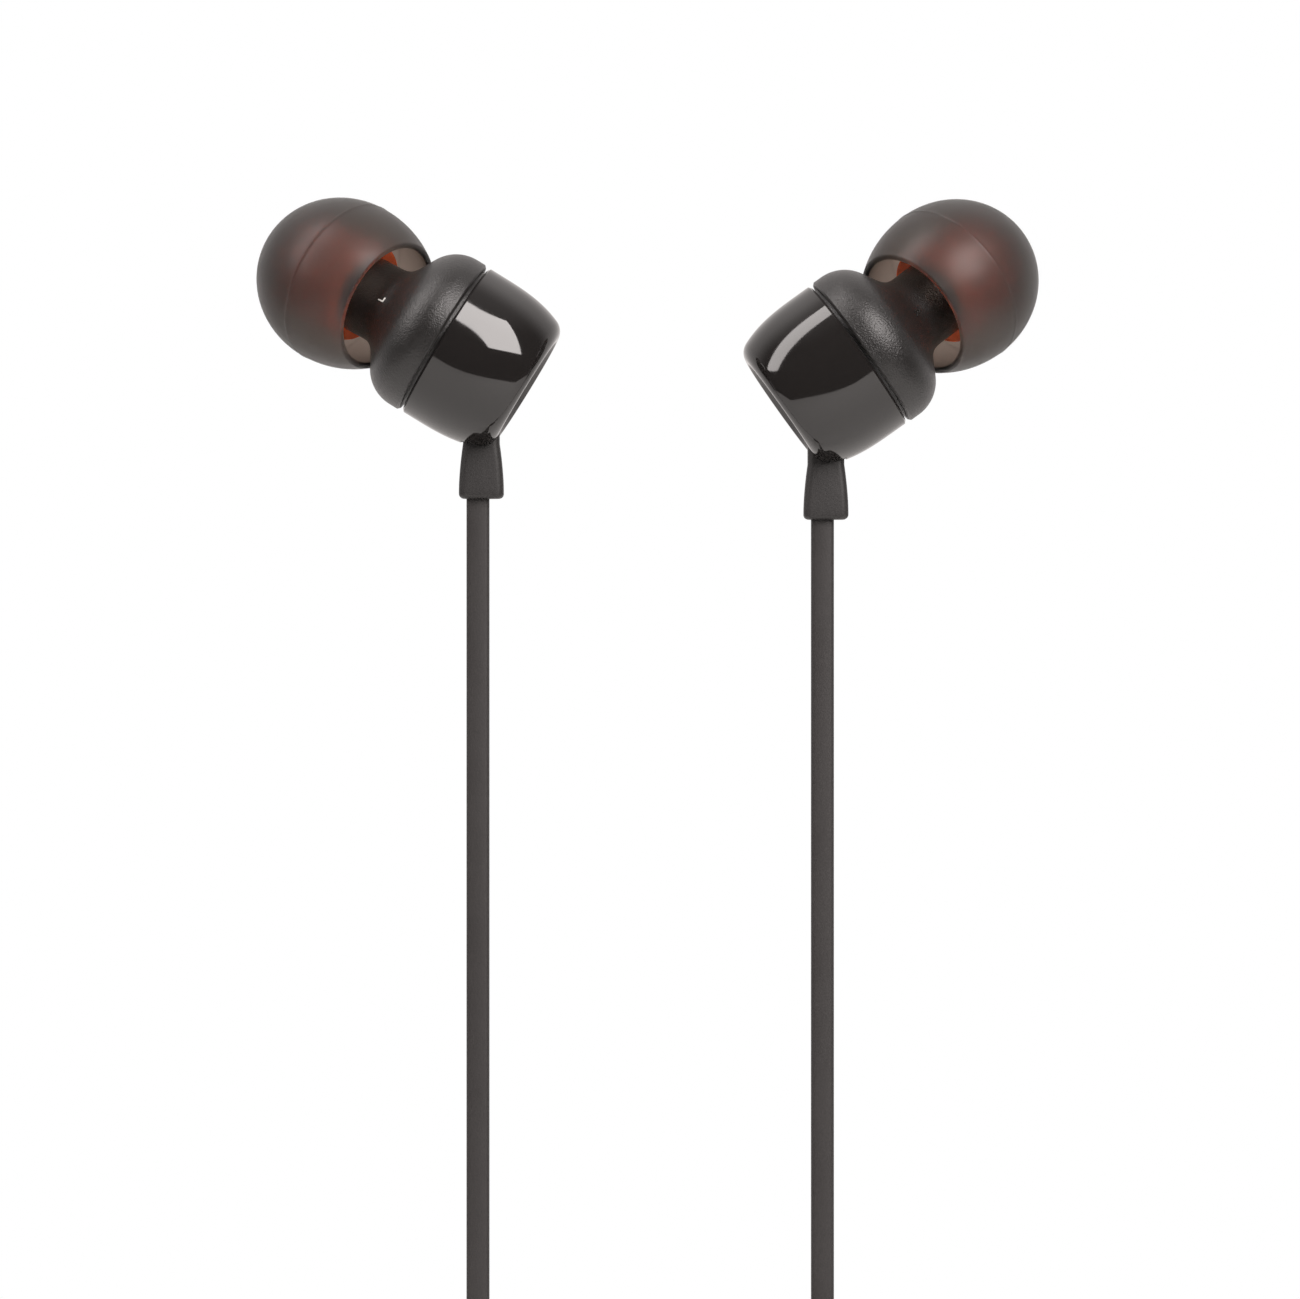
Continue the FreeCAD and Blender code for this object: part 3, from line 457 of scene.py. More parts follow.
def trunk_turns():
    """The trunk's turns: rows outwards, inwards and outwards again, in three columns."""
    homes = [(TRUNK_ROWS[row], TRUNK_COLUMNS[column])
             for column, rows in enumerate(((0, 1, 2, 3), (3, 2, 1, 0), (0, 1, 2, 3))) for row in rows]
    first, last = TRUNK_FIRST_ANGLE, 180.0 + 360 * (len(homes) - 1)
    count = round((last - first) / 360 * POINTS_PER_TURN)
    turns = []
    for index in range(count + 1):
        angle = first + (last - first) * index / count
        done = (angle - TRUNK_TURN_START) / 360
        turn = min(int(done), len(homes) - 2)
        share = min(max((done - turn - 1 + TRUNK_CROSSING) / TRUNK_CROSSING, 0), 1)
        share = share * share * (3 - 2 * share)
        here, following = homes[turn], homes[turn + 1]
        radius = here[0] + (following[0] - here[0]) * share
        turns.append(on_coil(radius, angle, here[1] + (following[1] - here[1]) * share))
    return turns


left_route = [Vector((-11.89, CORD_Y, z)) for z in (-15.30, -25.0, -50.0, -80.0, -105.0, -120.0, -126.0)]
left_route += [on_coil(LEG_OUTER_TURN, 180, CORD_Y)] + leg_turns(180, 180, CORD_Y)
left_route += leg_into_splitter(CORD_Y)

RIGHT_SLICE_Y = CORD_Y + LEG_PITCH_Y
right_route = [Vector((12.22, CORD_Y, z)) for z in (-16.76, -27.0, -50.0, -74.5, -88.0, -100.5, -106.5)]
right_route += [Vector((11.2, CORD_Y + 0.9, -112.1)), Vector((7.2, CORD_Y + 1.7, -115.5)),
                on_coil(LEG_OUTER_TURN, 90, RIGHT_SLICE_Y), in_coil(-3.4, RIGHT_SLICE_Y, 13.5)]
right_route += leg_turns(104, 90, RIGHT_SLICE_Y) + leg_into_splitter(RIGHT_SLICE_Y)

trunk_route = [in_coil(7.0, SPLITTER_Y, 3.40), in_coil(7.0, SPLITTER_Y, 6.2),
               in_coil(5.3, SPLITTER_Y + 0.2, 8.7), in_coil(2.4, SPLITTER_Y + 0.7, 10.1),
               in_coil(-0.9, SPLITTER_Y + 1.4, 10.3), in_coil(-4.1, SPLITTER_Y + 2.1, 9.4),
               in_coil(-7.0, SPLITTER_Y + 2.6, 7.5)]
trunk_route += trunk_turns()
trunk_route += [Vector((-11.74, 4.43, z)) for z in (-133.0, -138.0, -142.1)]
print("route points:", len(left_route), len(right_route), len(trunk_route))

# %% A smooth line through a route


def smooth_line(name, route):
    """The points, in metres, of a NURBS line that a route's points control."""
    curve = bpy.data.curves.new(name, "CURVE")
    curve.dimensions = "3D"
    spline = curve.splines.new("NURBS")
    spline.points.add(len(route) - 1)
    for control, point in zip(spline.points, route):
        control.co = (*metres(point), 1)
    spline.order_u = 3
    spline.use_endpoint_u = True
    spline.resolution_u = 4
    carrier = bpy.data.objects.new(name, curve)
    bpy.context.scene.collection.objects.link(carrier)
    bpy.context.view_layer.update()
    evaluated = carrier.evaluated_get(bpy.context.evaluated_depsgraph_get())
    line = bpy.data.meshes.new_from_object(evaluated)
    points = [vertex.co.copy() for vertex in line.vertices]
    bpy.data.objects.remove(carrier)
    bpy.data.meshes.remove(line)
    return points


# %% [markdown]
# The sweep takes an edge line, makes a curve of it, and lets the stored direction lead the
# profile, which is a rectangle with filleted corners. It also stores the distance along the
# cord, which is there for any finish that should follow it.

# %% The sweep as a Geometry Nodes tree


def build_flat_sweep():
    """Geometry Nodes: a flat cord along a line, its width across the attribute 'facing'."""
    tree = bpy.data.node_groups.new("flat cord sweep", "GeometryNodeTree")
    face = tree.interface
    face.new_socket("Geometry", in_out="INPUT", socket_type="NodeSocketGeometry")
    for label in ("Width", "Thickness", "Corner"):
        face.new_socket(label, in_out="INPUT", socket_type="NodeSocketFloat")
    face.new_socket("Finish", in_out="INPUT", socket_type="NodeSocketMaterial")
    face.new_socket("Geometry", in_out="OUTPUT", socket_type="NodeSocketGeometry")
    add, join = tree.nodes.new, tree.links.new
    source, result = add("NodeGroupInput"), add("NodeGroupOutput")
    to_curve = add("GeometryNodeMeshToCurve")
    join(source.outputs["Geometry"], to_curve.inputs["Mesh"])
    facing = add("GeometryNodeInputNamedAttribute")
    facing.data_type = "FLOAT_VECTOR"
    facing.inputs["Name"].default_value = "facing"
    normals = add("GeometryNodeSetCurveNormal")
    normals.mode = "FREE"
    join(to_curve.outputs["Curve"], normals.inputs["Curve"])
    join(facing.outputs["Attribute"], normals.inputs["Normal"])
    along = add("GeometryNodeStoreNamedAttribute")
    along.data_type = "FLOAT"
    along.inputs["Name"].default_value = "along"
    join(normals.outputs["Curve"], along.inputs["Geometry"])
    join(add("GeometryNodeSplineParameter").outputs["Length"], along.inputs["Value"])
    section = add("GeometryNodeCurvePrimitiveQuadrilateral")
    join(source.outputs["Width"], section.inputs["Width"])
    join(source.outputs["Thickness"], section.inputs["Height"])
    fillet = add("GeometryNodeFilletCurve")
    fillet.mode = "POLY"
    fillet.inputs["Count"].default_value = 3
    join(section.outputs["Curve"], fillet.inputs["Curve"])
    join(source.outputs["Corner"], fillet.inputs["Radius"])
    sweep = add("GeometryNodeCurveToMesh")
    sweep.inputs["Fill Caps"].default_value = True
    join(along.outputs["Geometry"], sweep.inputs["Curve"])
    join(fillet.outputs["Curve"], sweep.inputs["Profile Curve"])
    realised, painted = add("GeometryNodeRealizeInstances"), add("GeometryNodeSetMaterial")
    join(sweep.outputs["Mesh"], realised.inputs["Geometry"])
    join(realised.outputs["Geometry"], painted.inputs["Geometry"])
    join(source.outputs["Finish"], painted.inputs["Material"])
    join(painted.outputs["Geometry"], result.inputs["Geometry"])
    return tree


flat_sweep = build_flat_sweep()


def apply_nodes(name, mesh, tree, finish, **sizes):
    """Runs a tree on a mesh and returns its result as a plain object. Sizes are in metres."""
    carrier = bpy.data.objects.new(name + "_carrier", mesh)
    bpy.context.scene.collection.objects.link(carrier)
    modifier = carrier.modifiers.new("nodes", "NODES")
    modifier.node_group = tree
    for item in tree.interface.items_tree:
        if item.in_out == "INPUT" and item.name in sizes:
            modifier[item.identifier] = sizes[item.name]
        if item.in_out == "INPUT" and item.name == "Finish":
            modifier[item.identifier] = FINISHES[finish]
    evaluated = carrier.evaluated_get(bpy.context.evaluated_depsgraph_get())
    made = bpy.data.meshes.new_from_object(evaluated)
    bpy.data.objects.remove(carrier)
    made.name = name
    shell = bmesh.new()
    shell.from_mesh(made)
    bmesh.ops.recalc_face_normals(shell, faces=shell.faces)
    shell.to_mesh(made)
    shell.free()
    made.shade_smooth()
    made.set_sharp_from_angle(angle=math.radians(50))
    return new_object(name, made, finish)


# %% [markdown]
# In view the cord's width lies along X. From 85 mm down it turns smoothly until its width lies
# along Y, and stays so in the coil. The trunk is wound, so its width lies along Y all the way.

# %% The three cords
LEG_WIDTH = 1.60
LEG_THICKNESS = 0.95
TRUNK_WIDTH = 2.10
TRUNK_THICKNESS = 1.05


def flat_side(point, twist_start, twist_end):
    """Direction of the cord's width at a point in metres: X above the twist, Y below it."""
    share = (twist_start - point.z / MM) / (twist_start - twist_end)
    share = min(max(share, 0), 1)
    angle = math.pi / 2 * share * share * (3 - 2 * share)
    return Vector((math.cos(angle), math.sin(angle), 0))


def flat_cord(name, route, width, thickness, twist):
    """Sweeps one flat cord. Returns it and the line that it follows."""
    line = smooth_line(name + "_line", route)
    mesh = bpy.data.meshes.new(name + "_edges")
    mesh.from_pydata(line, [(index, index + 1) for index in range(len(line) - 1)], [])
    facing = mesh.attributes.new("facing", "FLOAT_VECTOR", "POINT")
    for index, point in enumerate(line):
        along = line[min(index + 1, len(line) - 1)] - line[max(index - 1, 0)]
        across = flat_side(point, *twist)
        across = across - along.normalized() * across.dot(along.normalized())
        facing.data[index].vector = across.normalized()
    cord = apply_nodes(name, mesh, flat_sweep, "cord_jacket", Width=width * MM,
                       Thickness=thickness * MM, Corner=0.32 * thickness * MM)
    return cord, line


def measured(line):
    """Length of a line of points."""
    return sum((after - before).length for before, after in zip(line, line[1:]))


ABOVE_ALL = (100.0, 90.0)
left_cord, left_line = flat_cord("left_cord", left_route, LEG_WIDTH, LEG_THICKNESS, (-85.0, -124.0))
right_cord, right_line = flat_cord("right_cord", right_route, LEG_WIDTH, LEG_THICKNESS, (-100.5, -113.0))
trunk, trunk_line = flat_cord("trunk", trunk_route, TRUNK_WIDTH, TRUNK_THICKNESS, ABOVE_ALL)
settle(left_cord, "root", "cord_jacket", "left_leg_cord", "left_leg_coil")
settle(right_cord, "root", "cord_jacket", "right_leg_cord", "right_leg_coil")
settle(trunk, "root", "cord_jacket", "trunk_cord", "trunk_coil")
for line in (left_line, right_line, trunk_line):
    print("cord length", round(measured(line), 4), "m")

# %% [markdown]
# ## Rear housings
# Polished and barrel-shaped: the side bulges a little more towards the back, without a kink
# that a reflection would show, and a soft edge leads to a shallow dished back.
# The outline is drawn once and turned. A notch is then cut for the strain relief.

# %% Rear housing
FRONT_RADIUS = 5.90
REAR_RADIUS = 5.86
SEAM_HALF_GAP = 0.12
SEAM_CHAMFER = 0.15
REAR_LENGTH = 6.79
BARREL_START = 2.60
BARREL_ROUND = 9.10
BULGE_START = 1.20
REAR_EDGE_ROUND = 1.19
REAR_EDGE_ANGLE = 22.3
DISH_RADIUS = 3.40
DISH_SLOPE = 0.55
DISH_DEPTH = 0.40
SPIGOT_RADIUS = 5.35
SPIGOT_LENGTH = 1.20
FIT_GAP = 0.05
CAVITY_RADIUS = 4.95
WALL = 0.90
RELIEF_OFFSET = 0.24
RELIEF_SLOT = (2.83, 2.18)
RELIEF_TOP_BELOW_SEAM = 5.80
NOTCH_ABOVE_RELIEF = 0.14
BARREL_STEPS = 28


def rear_outline():
    """Outside of the rear shell from the middle of its back to the seam, then its inside."""
    turn = math.radians(REAR_EDGE_ANGLE)
    drop = BARREL_ROUND * (1 - math.cos(turn))
    reach = BARREL_START + BARREL_ROUND * math.sin(turn)
    power = math.tan(turn) * (reach - BULGE_START) / drop
    barrel = []
    for step in range(BARREL_STEPS + 1):
        share = 1 - step / BARREL_STEPS
        barrel.append((REAR_RADIUS - drop * share ** power, -BULGE_START - (reach - BULGE_START) * share))
    edge_centre = (barrel[0][0] - REAR_EDGE_ROUND * math.cos(turn),
                   barrel[0][1] + REAR_EDGE_ROUND * math.sin(turn))
    edge = arc(edge_centre, REAR_EDGE_ROUND, -90, -REAR_EDGE_ANGLE, 14)
    dish_floor = edge[0][1] + DISH_DEPTH
    back = softened([(0, dish_floor), (DISH_RADIUS, dish_floor), (DISH_RADIUS + DISH_SLOPE, edge[0][1]),
                     (edge[0][0], edge[0][1])], 0.30)[:-1]
    side = [(REAR_RADIUS, -0.7)]
    rim = [(REAR_RADIUS, -SEAM_HALF_GAP - SEAM_CHAMFER), (REAR_RADIUS - SEAM_CHAMFER, -SEAM_HALF_GAP)]
    socket = SPIGOT_RADIUS + FIT_GAP
    inside = [(socket, -SEAM_HALF_GAP), (socket, -SPIGOT_LENGTH - FIT_GAP),
              (CAVITY_RADIUS, -SPIGOT_LENGTH - FIT_GAP), (CAVITY_RADIUS, -REAR_LENGTH + 2 * WALL),
              (CAVITY_RADIUS - WALL, -REAR_LENGTH + WALL), (0, -REAR_LENGTH + WALL)]
    return back + edge[:-1] + barrel + side + rim + inside


def notch_for_relief(side):
    """A block, as a mesh object, where the relief enters the housing."""
    bud = EARBUDS[side]
    half_x, half_y = RELIEF_SLOT[0] / 2, RELIEF_SLOT[1] / 2
    middle = bud["cord_x"] + RELIEF_OFFSET
    top = bud["seam"][2] - RELIEF_TOP_BELOW_SEAM + NOTCH_ABOVE_RELIEF
    low = bud["relief_end"]
    rings = []
    for height in (low, low, top, top):
        size = 0 if len(rings) in (0, 3) else 1
        rings.append([(middle + size * sx * half_x, CORD_Y + size * sy * half_y, height)
                      for sx, sy in ((1, 1), (-1, 1), (-1, -1), (1, -1))])
    return ring_piece("notch_" + side, rings, "gloss_black")


def cut_with(piece, cutter, finish):
    """Cuts one object from another and returns the result as a plain object."""
    modifier = piece.modifiers.new("cut", "BOOLEAN")
    modifier.operation = "DIFFERENCE"
    modifier.solver = "EXACT"
    modifier.object = cutter
    bpy.context.view_layer.update()
    evaluated = piece.evaluated_get(bpy.context.evaluated_depsgraph_get())
    mesh = bpy.data.meshes.new_from_object(evaluated)
    name = piece.name
    bpy.data.objects.remove(piece)
    bpy.data.objects.remove(cutter)
    mesh.name = name
    mesh.shade_smooth()
    mesh.set_sharp_from_angle(angle=SHARP_ANGLE)
    return new_object(name, mesh, finish)


for side in EARBUDS:
    shell = lathe_piece(side + "_rear_shell", rear_outline(), housing_frame(side), "gloss_black")
    shell = cut_with(shell, notch_for_relief(side), "gloss_black")
    settle(shell, "root", "gloss_black", side + "_rear_housing")

# %% [markdown]
# ## Front housings
# The soft-touch front runs from the seam over a round shoulder and flows in one hollow curve
# into the leaning neck. Each point of the shoulder's ring is joined to its partner on the neck by
# a cubic curve that leaves along the shoulder and arrives along the nozzle's axis. Beyond the
# neck are the narrower tube, the barb that holds the tip, and the bore.

# %% Front housing
SHOULDER_START = 0.90
SHOULDER_ROUND = 2.83
FLOW_ANGLE = 60.0
FLOW_STEPS = 18
NECK_RADIUS = 2.80
NECK_START = 3.55
NECK_END = 5.35
LEAVE_SHOULDER = 0.42
MEET_NECK = 0.40
TUBE_RADIUS = 2.35
BARB_RADIUS = 2.55
BARB_PLACES = (8.20, 8.50, 9.00)
TUBE_END = 10.30
TUBE_END_RADIUS = 2.25
SOUND_BORE = 1.70
SCREEN_SEAT = 1.97
SCREEN_DEPTH = 0.20
DRIVER_SEAT = 4.85
DRIVER_SEAT_TOP = 1.75
CAVITY_FRONT = 2.60
CAVITY_FRONT_RADIUS = 3.60


def flowing_rings(place):
    """Rings from the shoulder to the neck: a cubic curve for each point of the ring."""
    nozzle = nozzle_in_housing()
    lean = nozzle.to_3x3() @ Vector((0, 0, 1))
    angle = math.radians(FLOW_ANGLE)
    radius = FRONT_RADIUS - SHOULDER_ROUND + SHOULDER_ROUND * math.cos(angle)
    height = SHOULDER_START + SHOULDER_ROUND * math.sin(angle)
    starts = circle(radius, height)
    ends = circle(NECK_RADIUS, NECK_START, nozzle)
    rings = []
    for step in range(1, FLOW_STEPS + 1):
        share = step / FLOW_STEPS
        ring = []
        for start, end in zip(starts, ends):
            outwards = Vector((start.x, start.y, 0)).normalized()
            leave = -outwards * math.sin(angle) + Vector((0, 0, math.cos(angle)))
            span = (end - start).length
            first = start + leave * span * LEAVE_SHOULDER
            second = end - lean * span * MEET_NECK
            keep = 1 - share
            point = start * keep ** 3 + first * 3 * keep ** 2 * share
            point += second * 3 * keep * share ** 2 + end * share ** 3
            ring.append(place @ point)
        rings.append(ring)
    return rings


def bore_mouth(place):
    """Where the leaning bore meets the flat front wall of the cavity."""
    nozzle = nozzle_in_housing()
    lean = nozzle.to_3x3() @ Vector((0, 0, 1))
    ring = []
    for point in circle(SOUND_BORE, 0, nozzle):
        ring.append(place @ (point + lean * (CAVITY_FRONT - point.z) / lean.z))
    return ring


def front_shell(side):
    """The whole front housing as one closed skin."""
    place = housing_frame(side)
    nozzle = nozzle_frame(side)
    centre = (FRONT_RADIUS - SHOULDER_ROUND, SHOULDER_START)
    outside = [(FRONT_RADIUS - SEAM_CHAMFER, SEAM_HALF_GAP), (FRONT_RADIUS, SEAM_HALF_GAP + SEAM_CHAMFER),
               (FRONT_RADIUS, 0.58)] + arc(centre, SHOULDER_ROUND, 0, FLOW_ANGLE, 16)
    ramp, full, back = BARB_PLACES
    neck = softened([(NECK_RADIUS, NECK_START + 0.3), (NECK_RADIUS, NECK_END), (TUBE_RADIUS, NECK_END),
                     (TUBE_RADIUS, ramp), (BARB_RADIUS, full), (BARB_RADIUS, back),
                     (TUBE_END_RADIUS, TUBE_END), (SCREEN_SEAT, TUBE_END)], 0.12)
    bore = [(SCREEN_SEAT, TUBE_END - SCREEN_DEPTH), (SOUND_BORE, TUBE_END - SCREEN_DEPTH), (SOUND_BORE, 4.0)]
    cavity = [(CAVITY_FRONT_RADIUS, CAVITY_FRONT), (DRIVER_SEAT, DRIVER_SEAT_TOP),
              (DRIVER_SEAT, -SPIGOT_LENGTH), (SPIGOT_RADIUS, -SPIGOT_LENGTH), (SPIGOT_RADIUS, SEAM_HALF_GAP)]
    rings = [circle(radius, height, place) for radius, height in outside]
    rings += flowing_rings(place)
    rings += [circle(radius, height, nozzle) for radius, height in neck + bore]
    rings.append(bore_mouth(place))
    rings += [circle(radius, height, place) for radius, height in cavity]
    return ring_piece(side + "_front_shell", rings, "matte_black", loop=True)


for side in EARBUDS:
    settle(front_shell(side), "root", "matte_black", side + "_front_housing")

# %% [markdown]
# ## Ear tips
# A tip is one moulding in two materials: a thin smoky dome with an open skirt, and a firm
# orange-red sleeve inside it that grips the nozzle. The dome's outline is made of quarter
# ellipses, outside and inside, so its wall keeps a real thickness. A hair-thin parting line
# runs round its widest place, where the two halves of the mould met.

# %% Ear tips
TIP_RADIUS = 5.93
TIP_FRONT_LENGTH = 6.35
SKIRT_LENGTH = 4.10
SKIRT_RADIUS = 4.83
RIM_BULGE = 0.12
CORE_RADIUS = 3.65
CORE_BORE = 2.60
CORE_REAR = -1.95
CORE_FRONT = 4.20
TIP_BORE = 2.10
PARTING_HEIGHT = 0.025
PARTING_HALF_WIDTH = 0.05
LIP_ROUND = 0.55
RIB_COUNT = 4
RIB_PITCH = 1.20
RIB_HEIGHT = 0.08


def half_axis(radius, at_radius, height):
    """Half axis of the ellipse with this radius that passes through (at_radius, height)."""
    return height / math.sqrt(1 - (at_radius / radius) ** 2)


def ellipse_run(radius, length, first, last, way, count):
    """Points on an ellipse between two of its radii. way is 1 before the centre, -1 behind."""
    low, high = math.acos(min(first / radius, 1)), math.acos(min(last / radius, 1))
    points = []
    for step in range(count + 1):
        angle = low + (high - low) * step / count
        points.append((radius * math.cos(angle), way * length * math.sin(angle)))
    return points


def dome_outline():
    """Closed outline of the dome's wall, from the lip of the bore over the outside and back."""
    lip_radius = TIP_BORE + LIP_ROUND
    lip_height = TIP_FRONT_LENGTH * math.sqrt(1 - (lip_radius / TIP_RADIUS) ** 2)
    inner = TIP_RADIUS - DOME_WALL
    rim_inner = SKIRT_RADIUS - DOME_WALL
    outer_rear = half_axis(TIP_RADIUS, SKIRT_RADIUS, SKIRT_LENGTH)
    inner_rear = half_axis(inner, rim_inner, SKIRT_LENGTH)
    inner_front = half_axis(inner, CORE_RADIUS, CORE_FRONT)
    outside = ellipse_run(TIP_RADIUS, TIP_FRONT_LENGTH, lip_radius, TIP_RADIUS, 1, 30)[:-1]
    parting = [(TIP_RADIUS, PARTING_HALF_WIDTH), (TIP_RADIUS + PARTING_HEIGHT, 0.0),
               (TIP_RADIUS, -PARTING_HALF_WIDTH)]
    skirt = ellipse_run(TIP_RADIUS, outer_rear, TIP_RADIUS, SKIRT_RADIUS, -1, 20)[1:]
    half_round = arc((SKIRT_RADIUS - DOME_WALL / 2, 0), DOME_WALL / 2, 0, -180, 8)[1:-1]
    rim = [(radius, -SKIRT_LENGTH + depth * RIM_BULGE / (DOME_WALL / 2)) for radius, depth in half_round]
    inside = ellipse_run(inner, inner_rear, rim_inner, inner, -1, 16)
    inside += ellipse_run(inner, inner_front, inner, CORE_RADIUS + 0.02, 1, 20)[1:]
    lip = [(CORE_RADIUS, CORE_FRONT), (TIP_BORE, CORE_FRONT), (TIP_BORE, lip_height - LIP_ROUND)]
    lip += arc((lip_radius, lip_height - LIP_ROUND), LIP_ROUND, 180, 95, 6)[1:]
    return outside + parting + skirt + rim + inside + lip


def core_outline():
    """Closed outline of the sleeve, with softened ends and shallow grip ribs in its bore."""
    ribs = []
    for rib in range(RIB_COUNT):
        height = CORE_REAR + 1.0 + rib * RIB_PITCH
        ribs += [(CORE_BORE, height), (CORE_BORE + RIB_HEIGHT, height + 0.25), (CORE_BORE, height + 0.5)]
    outer = softened([(CORE_BORE, CORE_FRONT), (CORE_RADIUS - 0.03, CORE_FRONT),
                      (CORE_RADIUS - 0.03, CORE_REAR), (CORE_BORE, CORE_REAR)], 0.22)
    return outer + ribs


for side in EARBUDS:
    place = nozzle_frame(side) @ Matrix.Translation((0, 0, TIP_CENTRE))
    dome = lathe_piece(side + "_tip_dome", dome_outline(), place, "smoke_silicone", loop=True)
    core = lathe_piece(side + "_tip_core", core_outline(), place, "red_silicone", loop=True)
    settle(dome, side + "_ear_tip", "smoke_silicone", side + "_ear_tip_dome")
    settle(core, side + "_ear_tip", "red_silicone", side + "_ear_tip_core")

# %% [markdown]
# ## Moulded reliefs and the splitter
# Both are drawn-out mouldings whose section is a rectangle with round corners. A list of
# sections says how wide, deep and round each one is, and where its centre lies.

# %% Section helper


def rounded_section(width, depth, corner, centre, count=8):
    """A level ring of points: a rectangle with round corners."""
    ring = []
    for quarter, (side_x, side_y) in enumerate(((1, 1), (-1, 1), (-1, -1), (1, -1))):
        pivot = Vector((side_x * (width / 2 - corner), side_y * (depth / 2 - corner), 0))
        for step in range(count + 1):
            angle = math.pi / 2 * (quarter + step / count)
            ring.append(Vector(centre) + pivot + corner * Vector((math.cos(angle), math.sin(angle), 0)))
    return ring


def moulding_piece(name, sections, finish):
    """A closed moulding through sections (width, depth, corner, centre), its ends filled."""
    rings = [rounded_section(*section) for section in sections]
    first, last = Vector(sections[0][3]), Vector(sections[-1][3])
    rings = [[first] * len(rings[0])] + rings + [[last] * len(rings[0])]
    return ring_piece(name, rings, finish)


# %% [markdown]
# The relief flares gently to its lower end, where its edge is rounded, and its top hides in the
# notch of the housing.

# %% Strain reliefs
RELIEF_TOP = (2.55, 1.90)
RELIEF_END = (3.12, 2.20)
RELIEF_FLARE = 1.7
RELIEF_EDGE_ROUND = 0.34
RELIEF_FLARE_START = 0.45
RELIEF_FLARE_LENGTH = 3.40


def relief_sections(side):
    """Sections of a relief from its lower end to its top."""
    bud = EARBUDS[side]
    centre_x = bud["cord_x"] + RELIEF_OFFSET
    low = bud["relief_end"]
    top = bud["seam"][2] - RELIEF_TOP_BELOW_SEAM
    sections = []
    for step in range(7):
        angle = math.pi / 2 * step / 6
        inset = RELIEF_EDGE_ROUND * (1 - math.sin(angle))
        height = low + RELIEF_EDGE_ROUND * (1 - math.cos(angle))
        sections.append((RELIEF_END[0] - 2 * inset, RELIEF_END[1] - 2 * inset, 0.50,
                         (centre_x, CORD_Y, height)))
    for step in range(1, 13):
        share = step / 12
        ease = share ** RELIEF_FLARE
        width = RELIEF_END[0] + (RELIEF_TOP[0] - RELIEF_END[0]) * ease
        depth = RELIEF_END[1] + (RELIEF_TOP[1] - RELIEF_END[1]) * ease
        height = low + RELIEF_FLARE_START + RELIEF_FLARE_LENGTH * share
        sections.append((width, depth, 0.48, (centre_x, CORD_Y, height)))
    sections.append((RELIEF_TOP[0], RELIEF_TOP[1], 0.48, (centre_x, CORD_Y, top)))
    return sections


for side in EARBUDS:
    relief = moulding_piece(side + "_relief", relief_sections(side), "black_rubber")
    settle(relief, "root", "black_rubber", side + "_strain_relief")

# %% [markdown]
# The splitter joins the two legs to the trunk. It is widest near the legs, thins towards the
# trunk and carries three shallow grip grooves.

# %% Splitter
SPLITTER_KEYS = [(-4.40, 2.00, 4.00), (-4.00, 2.50, 4.60), (1.00, 2.30, 3.90), (3.40, 1.70, 2.70)]
SPLITTER_STEPS = 52
SPLITTER_X = 7.0
FIRST_GROOVE = -1.40
GROOVE_PITCH = 0.90
GROOVE_HALF_WIDTH = 0.28
GROOVE_CUT = 0.24


def splitter_size(height):
    """Width and depth of the splitter at a height over the coil's centre."""
    for low, high in zip(SPLITTER_KEYS, SPLITTER_KEYS[1:]):
        if height <= high[0]:
            share = (height - low[0]) / (high[0] - low[0])
            return [low[index] + (high[index] - low[index]) * share for index in (1, 2)]
    return list(SPLITTER_KEYS[-1][1:])


splitter_sections = []
splitter_low, splitter_high = SPLITTER_KEYS[0][0], SPLITTER_KEYS[-1][0]
for step in range(SPLITTER_STEPS + 1):
    height = splitter_low + (splitter_high - splitter_low) * step / SPLITTER_STEPS
    width, depth = splitter_size(height)
    groove = 0.0
    for rib in range(3):
        groove = max(groove, 1 - abs(height - FIRST_GROOVE - GROOVE_PITCH * rib) / GROOVE_HALF_WIDTH)
    width -= GROOVE_CUT * groove
    depth -= GROOVE_CUT * groove
    centre = in_coil(SPLITTER_X, SPLITTER_Y, height)
    splitter_sections.append((width, depth, min(0.6, width * 0.3), centre))
splitter = moulding_piece("splitter", splitter_sections, "black_rubber")
settle(splitter, "root", "black_rubber", "cord_splitter")

# %% [markdown]
# ## Remote
# An in-line remote with two shells that meet in a seam, a pressed button with a dished face, and
# a sound hole for the microphone. The shells are pill-shaped, with edges rounded towards front
# and back. Two cutters open the front shell: one a little larger than the button, one all but round.

# %% Remote
REMOTE_CENTRE = Vector((12.22, CORD_Y, -87.50))
REMOTE_SIZE = (5.60, 26.00)
REMOTE_FRONT = 2.10
REMOTE_BACK = 1.90
BUTTON_SIZE = (3.00, 8.00)
BUTTON_LIFT = 3.0
BUTTON_PROUD = 0.45
BUTTON_GAP = 0.10
MIC_DROP = -7.5
MIC_HOLE = (0.80, 0.801)
MIC_DEPTH = 0.72
POCKET_DEPTH = 1.15
REMOTE_EDGE_ROUND = 1.10


def pill_ring(width, length, inset, y, centre, count=28):
    """An upright pill-shaped ring of points at a depth y, drawn in by an inset."""
    radius = width / 2 - inset
    straight = length / 2 - width / 2
    ring = []
    for way in (1, -1):
        for step in range(count + 1):
            angle = math.pi * step / count + (0 if way > 0 else math.pi)
            ring.append(centre + Vector((radius * math.cos(angle), y,
                                         way * straight + radius * math.sin(angle))))
    return ring


def pill_cutter(name, size, depth, centre):
    """A pill-shaped cutter that goes this deep into the remote's front."""
    return pill_piece(name, size, [(0, -REMOTE_FRONT - 1), (0, depth - REMOTE_FRONT)], centre, "matte_black")


